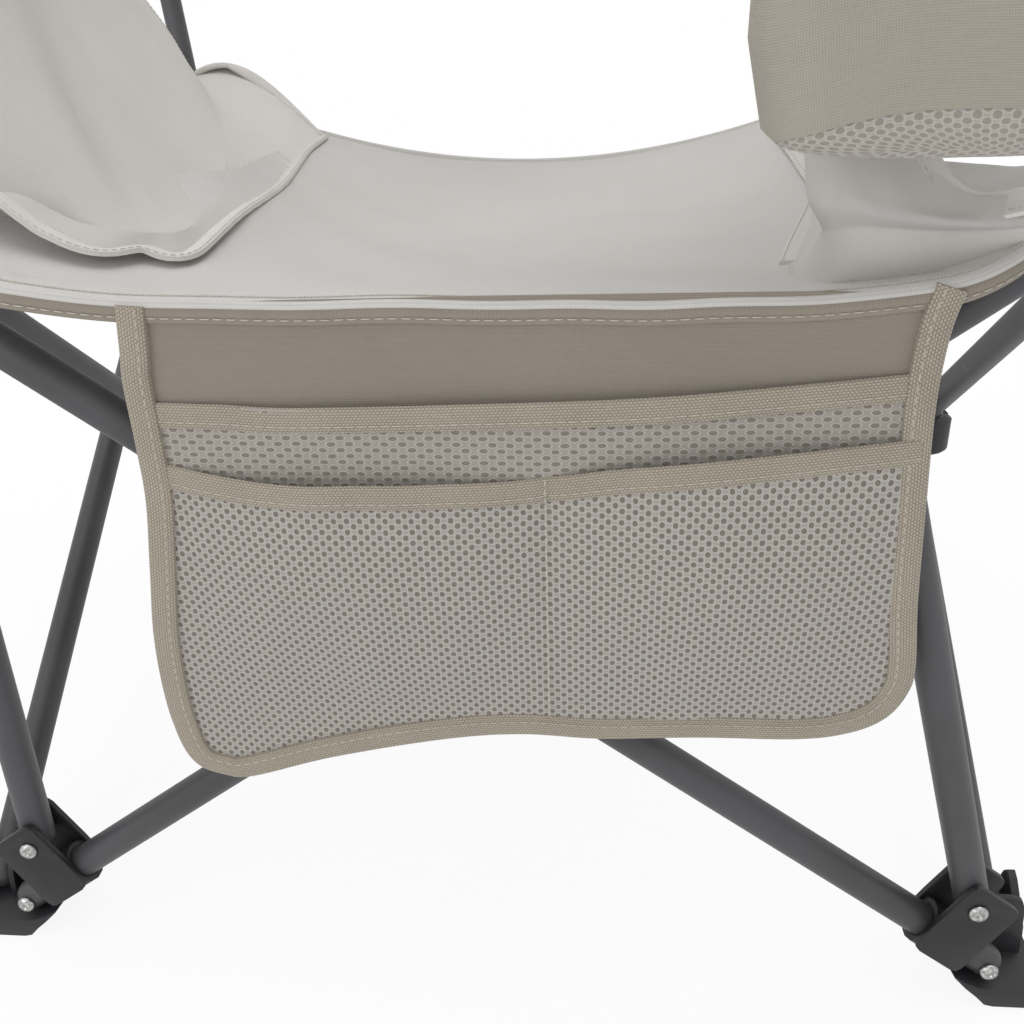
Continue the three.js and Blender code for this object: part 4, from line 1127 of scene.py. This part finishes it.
# The tape's section over a single edge, and over the flap's with the pockets' edges in it
folded_tape = [
    (-0.0004, 0.0), (-0.0001, 0.0013), (0.0010, 0.0018), (0.0090, 0.0018), (0.0098, 0.0014),
    (0.0098, -0.0014), (0.0090, -0.0018), (0.0010, -0.0018), (-0.0001, -0.0013),
]
edge_tape = [
    (-0.0004, 0.0), (-0.0001, 0.0028), (0.0010, 0.0036), (0.0092, 0.0036), (0.0102, 0.0030),
    (0.0102, -0.0014), (0.0090, -0.0018), (0.0010, -0.0018), (-0.0001, -0.0013),
]
shape = new_sewing()
strip(shape, stations, edge_tape)


def beside_edge(share):
    """The line of the tape's stitches."""
    return on_flap(outline(share) + inward(outline, share, turn_step) * 0.0072, 0.0034)


stitch_row(shape, evenly(beside_edge, 600), lambda s: forward, *tape_stitch, 1)
binding = sewn_piece("flap_binding", shape, tape, thread_finish)
hung_on_flap(binding, "webbing")

# Pocket mouths and the swell of the mesh below them
upper_mouth = flap_curve([
    (-0.1140, 0.3114), (-0.0841, 0.3108), (-0.0542, 0.3098), (0.0234, 0.3125), (0.0898, 0.3157),
    (0.1700, 0.3232),
])
lower_mouth = flap_curve([
    (-0.1139, 0.2879), (-0.0855, 0.2828), (-0.0573, 0.2807), (0.0226, 0.2818), (0.0696, 0.2886),
    (0.1689, 0.2991),
])
seam_at = 0.0350


def swell(x, z):
    """How far the lower pocket's mesh stands off the flap."""
    left, right = -0.104, 0.172
    part = clip((x - left) / (seam_at - left) if x < seam_at else (x - seam_at) / (right - seam_at))
    top, drop = 0.290, 0.115
    down = clip((top - z) / drop)
    belly = arch(part) ** 0.8 * (0.0050 * (1 - down) + 0.0042 * arch(down))
    crumple = noise.noise(Vector((x * 38, z * 26, 7.3))) * 0.0015 * arch(part)
    return 0.0014 + max(0, belly + crumple)


pocket_bottom = flap_curve([
    (-0.1206, 0.1424), (-0.0972, 0.1381), (-0.0597, 0.1498), (-0.0113, 0.1605), (0.0229, 0.1648),
    (0.0563, 0.1634), (0.0975, 0.1656), (0.1382, 0.1667), (0.1701, 0.1774),
])
pocket_left = flap_curve([
    (-0.1139, 0.2879), (-0.1150, 0.2713), (-0.1195, 0.2404), (-0.1244, 0.2073), (-0.1260, 0.1729),
    (-0.1206, 0.1424),
])
pocket_right = flap_curve([
    (0.1689, 0.2991), (0.1695, 0.2745), (0.1724, 0.2325), (0.1760, 0.2015), (0.1749, 0.1878),
    (0.1701, 0.1774),
])
lower_net = coons(lower_mouth, pocket_bottom, pocket_left, pocket_right)


def lower_pocket(s, t):
    point = lower_net(s, t)
    return on_flap(point, swell(point.x, point.z))


def upper_pocket(s, t):
    behind = 0.022      # how far it reaches down behind the lower pocket's mouth
    low = lower_mouth(s) - up * behind
    return on_flap(upper_mouth(s).lerp(low, t), 0.0008 + 0.0034 * arch(s) * (1 - t))


lower_piece = cloth_sheet(
    "pocket_mesh_lower", lower_pocket, 150, 90, (0.280, 0.135), thin_mesh, mesh_knit, upright=True
)
hung_on_flap(lower_piece, "mesh", "pocket_lower")
upper_piece = cloth_sheet(
    "pocket_mesh_upper", upper_pocket, 120, 40, (0.275, 0.050), thin_mesh, strip_knit, upright=True
)
hung_on_flap(upper_piece, "mesh", "pocket_upper")

flat_tape = [
    (0.0003, 0.0000), (0.0, 0.0008), (-0.0006, 0.0010), (-0.0088, 0.0010), (-0.0095, 0.0006),
    (-0.0095, -0.0004), (0.0, -0.0004),
]
for name, mouth, stand in (
    ("upper", upper_mouth, lambda p, s: 0.0012 + 0.0034 * arch(s)),
    ("lower", lower_mouth, lambda p, s: swell(p.x, p.z - 0.004) + 0.0004),
):
    line = evenly(mouth)
    stations = []
    for i in range(241):
        share = i / 240
        here = line(share)
        stations.append((on_flap(here, stand(here, share)), inward(line, share, 0.006), forward))
    sewing = (((-0.0070, 0.0009),), tape_stitch, 0.0001)
    piece = edging(f"pocket_tape_{name}", stations, flat_tape, (tape, thread_finish), *sewing)
    hung_on_flap(piece, "webbing")


def halving(share):
    """The seam down the lower pocket; its first stitches stand on the tape of the mouth."""
    level = mix(0.2835, 0.1700, share)
    return on_flap(Vector((seam_at, 0, level)), 0.0032 + 0.0012 * (share < 0.09))


shape = new_sewing()
stitch_row(shape, evenly(halving), lambda s: forward, 0.0036, 0.0031, 0.00026, 0, 0.0001)
piece = sewn_piece("pocket_halving_seam", shape, thread_finish)
hung_on_flap(piece, "mesh")

# ---------------------------------------------------------------------------------------
# Arm pads
# Canvas sewn round a strip of foam and quilted across near both ends, over the post's top at
# the front and held by the recline strap at the rear.

pad_canvas = canvas("canvas_greige_pads", paint(150, 146, 139), paint(190, 186, 179))
arm_ends = {
    "left": (Vector((-0.228964, -0.2555, 0.6598)), Vector((-0.286, 0.060, 0.650))),
    "right": (Vector((0.07263, -0.2725, 0.6385)), Vector((0.286, 0.060, 0.650))),
}


def crowned_pad(name, surface, columns, rows, thickness, node, fold, body, channels):
    """A padded panel: crowned in the middle, pinched at its edges and along its sewn channels."""
    shape = bmesh.new()
    weave = shape.loops.layers.uv.new("weave")
    pinched = 0.0016
    layers = []
    for face_side in (1, -1):
        grid = []
        for i in range(columns + 1):
            line = []
            for j in range(rows + 1):
                u, v = i / columns, j / rows
                point, rise, size = surface(u, v)
                edge = (min(u, 1 - u) * size[0], min(v, 1 - v) * size[1])
                round_off = math.prod(min(1, 1 - (1 - min(1, e / 0.016)) ** 2) for e in edge) ** 0.5
                pinch = 1 - sum(0.55 * hump(v * size[1], c * size[1], 0.006) for c in channels)
                height = pinched + (thickness / 2 - pinched) * round_off * pinch
                spot = shape.verts.new(point + rise * face_side * height)
                line.append((spot, (u * size[0], v * size[1])))
            grid.append(line)
        layers.append(grid)
        for i in range(columns):
            for j in range(rows):
                spots = (grid[i][j], grid[i + 1][j], grid[i + 1][j + 1], grid[i][j + 1])
                face = shape.faces.new([v for v, _ in spots])
                for loop, (_, uv) in zip(face.loops, spots):
                    loop[weave].uv = uv
    rim = [(i, 0) for i in range(columns)] + [(columns, j) for j in range(rows)]
    rim += [(columns - i, rows) for i in range(columns)] + [(0, rows - j) for j in range(rows)]
    top, low = layers
    for a, b in zip(rim, rim[1:] + rim[:1]):
        shape.faces.new([top[a[0]][a[1]][0], top[b[0]][b[1]][0], low[b[0]][b[1]][0], low[a[0]][a[1]][0]])
    piece = sewn_piece(name, shape, pad_canvas)
    placed(piece, body, "greige_canvas", node, fold=fold)
    return piece


# Half the pad's width, and how far it reaches out in front of the post
pad_half = 0.031

for side, (start, end) in arm_ends.items():
    run = (end - start).normalized()
    width = Vector((run.y, -run.x, 0)).normalized() * pad_half
    length = (end - start).length + pad_half

    def arm_surface(u, v):
        point = (start - run * pad_half).lerp(end, v) + width * (1 - 2 * u)
        height = 0.0035 * arch(u) + noise.noise(point * 30) * 0.0007
        return point + up * height, up, (pad_half * 2, length)

    piece = crowned_pad(f"arm_pad_cloth_{side}", arm_surface, 36, 110, 0.0136, f"arm_pad_{side}",
                        wing_folds[side], f"{side}_arm", (0.08, 0.92))

# ---------------------------------------------------------------------------------------
# Back
# One canvas panel stretched between the uprights, taped along its upper and lower edges, and a
# padded headrest sewn to its top. The sleeves that hold it to the uprights are left out.

back_canvas = canvas("canvas_greige_back", paint(150, 146, 139), paint(190, 186, 179))
back_low, back_high = 0.470, 0.8799


def back_point(across, rise):
    level = mix(back_low, back_high, rise)
    left, right = (at_level(foot, run, level) for foot, run in (uprights["left"], uprights["right"]))
    inset = 0.0084 / (right.x - left.x)
    point = left.lerp(right, mix(inset, 1 - inset, across))
    point.y += mix(0.058, 0.0277, rise) * arch(across)
    return point


def back_cloth(u, v):
    point = back_point(1 - u, v)
    slack = 4 * u * (1 - u) * 4 * v * (1 - v)
    return point + Vector((0, noise.noise(Vector((u * 4, v * 3, 9))) * 0.004 * slack, 0))


back_fold = {"joint": "fold", "axis": (1, 0, 0), "anchor": (0.317, 0.262, 0.6), "keep": 0.465}
piece = cloth_sheet("back_cloth", back_cloth, 110, 80, (0.60, 0.425), thick_canvas, back_canvas)
placed(piece, "upright_right", "greige_canvas", "back_sling", fold=back_fold)
for name, rise in (("top", 1), ("bottom", 0)):
    stations = []
    for i in range(161):
        u = i / 160
        run = heading(lambda x: back_cloth(x, rise), u, 0.01)
        inner = (back_cloth(u, abs(rise - 0.03)) - back_cloth(u, rise)).normalized()
        stations.append((back_cloth(u, rise), inner, run.cross(inner).normalized()))
    sewing = (((0.007, 0.0018),), tape_stitch, 0)
    piece = edging(f"back_binding_{name}", stations, folded_tape, (tape, thread_finish), *sewing)
    placed(piece, "upright_right", "webbing", fold=back_fold)

head_height, head_width, head_thickness = 0.130, 0.30, 0.034


def head_surface(u, v):
    share = head_height / (back_high - back_low)
    point = back_point(1 - mix(0.2312, 0.7688, u), mix(1 - share, 1, v) - share / 8)
    point.y -= (head_thickness + 0.0024) / 2 + 0.0008
    puff = noise.noise(point * 22) * 0.0012
    return point + Vector((0, puff, 0)), forward, (head_width, head_height)


piece = crowned_pad("headrest_cushion", head_surface, 90, 44, 0.033, "headrest",
                    back_fold, "upright_right", (0.34, 0.67))

# ---------------------------------------------------------------------------------------
# Recline straps and adjusters
# Polyester webbing from each arm's rear end to the upright, threaded through a moulded
# tri-glide that sets how far the back leans.

strap_webbing = ribbed_tape("recline_webbing", paint(96, 90, 80), paint(150, 142, 128), 0.0022, 0.0016)
# How far the strap goes out and in between the bars of its adjuster
weave_by = 0.0033


def eased(place, low, high):
    """0 below low, 1 above high, and smooth between them."""
    part = clip((place - low) / (high - low))
    return part * part * (3 - 2 * part)


strap_section = [
    (-0.0125, -0.0006), (-0.0119, -0.0009), (0.0119, -0.0009), (0.0125, -0.0006), (0.0125, 0.0006),
    (0.0119, 0.0009), (-0.0119, 0.0009), (-0.0125, 0.0006),
]
for side, sx in (("left", -1), ("right", 1)):
    start = Vector((sx * (0.286 + 0.0044), 0.060 + 0.0024, 0.650))
    end = at_level(*uprights[side], 0.650) + Vector((0, -0.010, 0))
    way = end - start
    length = way.length
    across = way.normalized().cross(up).normalized()
    stations = []
    for i in range(161):
        share = i / 160
        off = abs(share - 0.5) * length
        # Out over the middle bar, in behind the side bars, and back to the straight line
        out = weave_by * (1 - 2 * eased(off, 0.0023, 0.011)) + weave_by * eased(off, 0.0153, 0.030)
        stations.append((start.lerp(end, share) + across * out, up, across))
    piece = edging(f"recline_webbing_{side}", stations, strap_section, (strap_webbing,))
    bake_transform(piece, f"rear_bracket_{side}", f"upright_{side}",
             start=tuple(start.lerp(end, 0.62)), end=tuple(end))
    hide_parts(f"recline_strap_{side}")
    eased_copy(f"tri_glide_{side}", f"adjuster_{side}", 0.0005)

# ---------------------------------------------------------------------------------------
# Pouch
# A canvas pouch sewn to the underside of the right arm, open at the top and sagging a
# little, with a bottom of coarse knitted mesh so that what falls in can drain.

pouch_canvas = canvas("canvas_greige_pouch", paint(146, 140, 129), paint(176, 170, 159), 0.1)
pouch_knit = knitted_mesh(
    "knitted_mesh_pouch", paint(154, 148, 141), paint(178, 174, 168), 0.88, 0.0042, 0.0040
)
# Its walls, the radius of its corners, its middle and its upper edge's level
pouch_left, pouch_right, pouch_front, pouch_rear = 0.098, 0.236, -0.346, -0.290
pouch_round = 0.014
pouch_middle = Vector((0.171, -0.318, 0))
pouch_top_level = 0.5755
turns = []
for corner, (x, y) in enumerate((
    (pouch_left + pouch_round, pouch_front + pouch_round),
    (pouch_right - pouch_round, pouch_front + pouch_round),
    (pouch_right - pouch_round, pouch_rear - pouch_round),
    (pouch_left + pouch_round, pouch_rear - pouch_round),
)):
    for i in range(9):
        a = math.pi + math.pi / 2 * (corner + i / 8)
        turns.append(Vector((x + pouch_round * math.cos(a), y + pouch_round * math.sin(a), 0)))
pouch_outline = walk(turns + turns[:1])


def pouch_low(x):
    """Lower edge of the canvas: it hangs lowest at its left corner."""
    return 0.4135 - 0.009 * (1 - clip((x - pouch_left) / 0.05)) ** 2


def pouch_wall(s, t):
    """The canvas: once round the pouch, and from its upper edge down."""
    spot = pouch_outline(s % 1)
    level = mix(pouch_top_level, pouch_low(spot.x), t)
    pull = 1 - 0.02 * arch(t) - 0.08 * max(0, t - 0.85) / 0.15
    spot = pouch_middle + (spot - pouch_middle) * pull
    ripple = noise.noise(Vector((spot.x * 18, spot.y * 18, level * 9))) * 0.0022 * arch(t)
    way = (spot - pouch_middle).normalized()
    return Vector((spot.x, spot.y, level)) + way * ripple


def pouch_floor(s, t):
    """The mesh bottom: from the canvas's lower edge round and in to the middle."""
    rim = pouch_wall(s, 1)
    turned_by = t * math.pi / 2
    point = rim.lerp(pouch_middle, (1 - math.cos(turned_by)) * 0.999)
    low = 0.3975 + 0.004 * noise.noise(Vector((point.x * 25, point.y * 25, 3))) ** 2
    point.z = mix(rim.z, low, math.sin(turned_by) ** 0.8)
    return point


pouch_piece = cloth_sheet("pouch_cloth", pouch_wall, 160, 60, (0.352, 0.165), thick_canvas, pouch_canvas)
placed(pouch_piece, "right_arm", "greige_canvas", "pouch_body")
shape = bmesh.new()
weave = shape.loops.layers.uv.new("weave")
rows = 22
grid = [[shape.verts.new(pouch_floor(i / 160, j / rows)) for j in range(rows + 1)] for i in range(160)]
for i in range(160):
    for j in range(rows):
        k = (i + 1) % 160
        face = shape.faces.new((grid[i][j], grid[k][j], grid[k][j + 1], grid[i][j + 1]))
        for loop, (a, b) in zip(face.loops, ((i, j), (i + 1, j), (i + 1, j + 1), (i, j + 1))):
            spot = loop.vert.co
            loop[weave].uv = (a * 0.0017, b * 0.0017) if j < rows / 2 else (spot.x * 0.75, spot.y * 0.75)
floor_piece = sewn_piece("pouch_mesh", shape, pouch_knit)
placed(floor_piece, "right_arm", "mesh", "pouch_net")

stations = []
for i in range(161):
    spot = pouch_wall(i / 160, 0)
    run = (pouch_wall((i + 1) / 160, 0) - spot).normalized()
    stations.append((spot, -up, run.cross(up).normalized()))
rim_piece = edging("pouch_rim_tape", stations, folded_tape, (tape, thread_finish))
placed(rim_piece, "right_arm", "webbing")


def hanger(s, t):
    """The back panel that joins the pouch to the underside of the arm."""
    bottom = Vector((mix(0.116, 0.226, s), -0.2905, 0.545))
    top = Vector((mix(0.060, 0.226, s), -0.2905, 0.6300))
    return bottom.lerp(top, t) + Vector((0.030 * (1 - s) * (1 - t) * t, -arch(t) * 0.002, 0))


hanger_piece = cloth_sheet("pouch_hanger", hanger, 50, 40, (0.150, 0.085), thick_canvas, pouch_canvas)
placed(hanger_piece, "right_arm", "greige_canvas")

# ---------------------------------------------------------------------------------------
# Floor and light
# A plain white floor that keeps the chair's shadow, a white backdrop, and soft studio light.

floor_mesh = bpy.data.meshes.new("floor")
reach = 6.0
corners = [(-reach, -reach, 0), (reach, -reach, 0), (reach, reach, 0), (-reach, reach, 0)]
floor_mesh.from_pydata(corners, [], [(0, 1, 2, 3)])
floor_paint, wire, fit = finish("floor_white", Roughness=0.9, Base_Color=paint(250, 250, 250))
tree = floor_paint.node_tree
ray = wire.node("ShaderNodeLightPath")
seen = ray.maths("MAXIMUM", ray, ray.other("Is Glossy Ray"))
glow = wire.node("ShaderNodeEmission", {}, {"Color": (1, 1, 1, 1), "Strength": 1.0})
place = wire.node("ShaderNodeTexCoord", output=3)
away = wire.node("ShaderNodeVectorMath", {"operation": "LENGTH"}, {0: place}, 1)
surface = wire.node("ShaderNodeMixShader", {}, {0: seen * (0.9 + 0.1 * away.ease(0.5, 1.4))})
shader = tree.nodes["Principled BSDF"]
mixer = surface.socket.node
tree.links.new(shader.outputs[0], mixer.inputs[1])
tree.links.new(glow.socket, mixer.inputs[2])
tree.links.new(surface.socket, tree.nodes["Material Output"].inputs[0])
floor = new_piece("floor", floor_mesh, floor_paint)

world = bpy.data.worlds.new("studio")
scene.world = world
world.use_nodes = True
tree = world.node_tree
ray = Wire(tree).node("ShaderNodeLightPath")
seen = ray.maths("MAXIMUM", ray, ray.other("Is Glossy Ray"))
backdrop = tree.nodes["Background"]
backdrop.inputs["Color"].default_value = (1, 1, 1, 1)
tree.links.new((0.72 + seen * 0.28).socket, backdrop.inputs["Strength"])


def soft_box(name, place, aim, size, power):
    lamp = bpy.data.lights.new(name, "AREA")
    lamp.shape = "RECTANGLE"
    lamp.size, lamp.size_y = size
    lamp.energy = power
    stand = bpy.data.objects.new(name, lamp)
    scene.collection.objects.link(stand)
    stand.location = place
    stand.rotation_euler = (Vector(aim) - Vector(place)).to_track_quat("-Z", "Y").to_euler()


soft_box("overhead_box", (0.1, 0.1, 2.3), (0.05, 0.0, 0.3), (2.2, 1.8), 26)
soft_box("front_box", (-1.4, -1.9, 1.3), (0, 0, 0.25), (1.2, 1.2), 12)
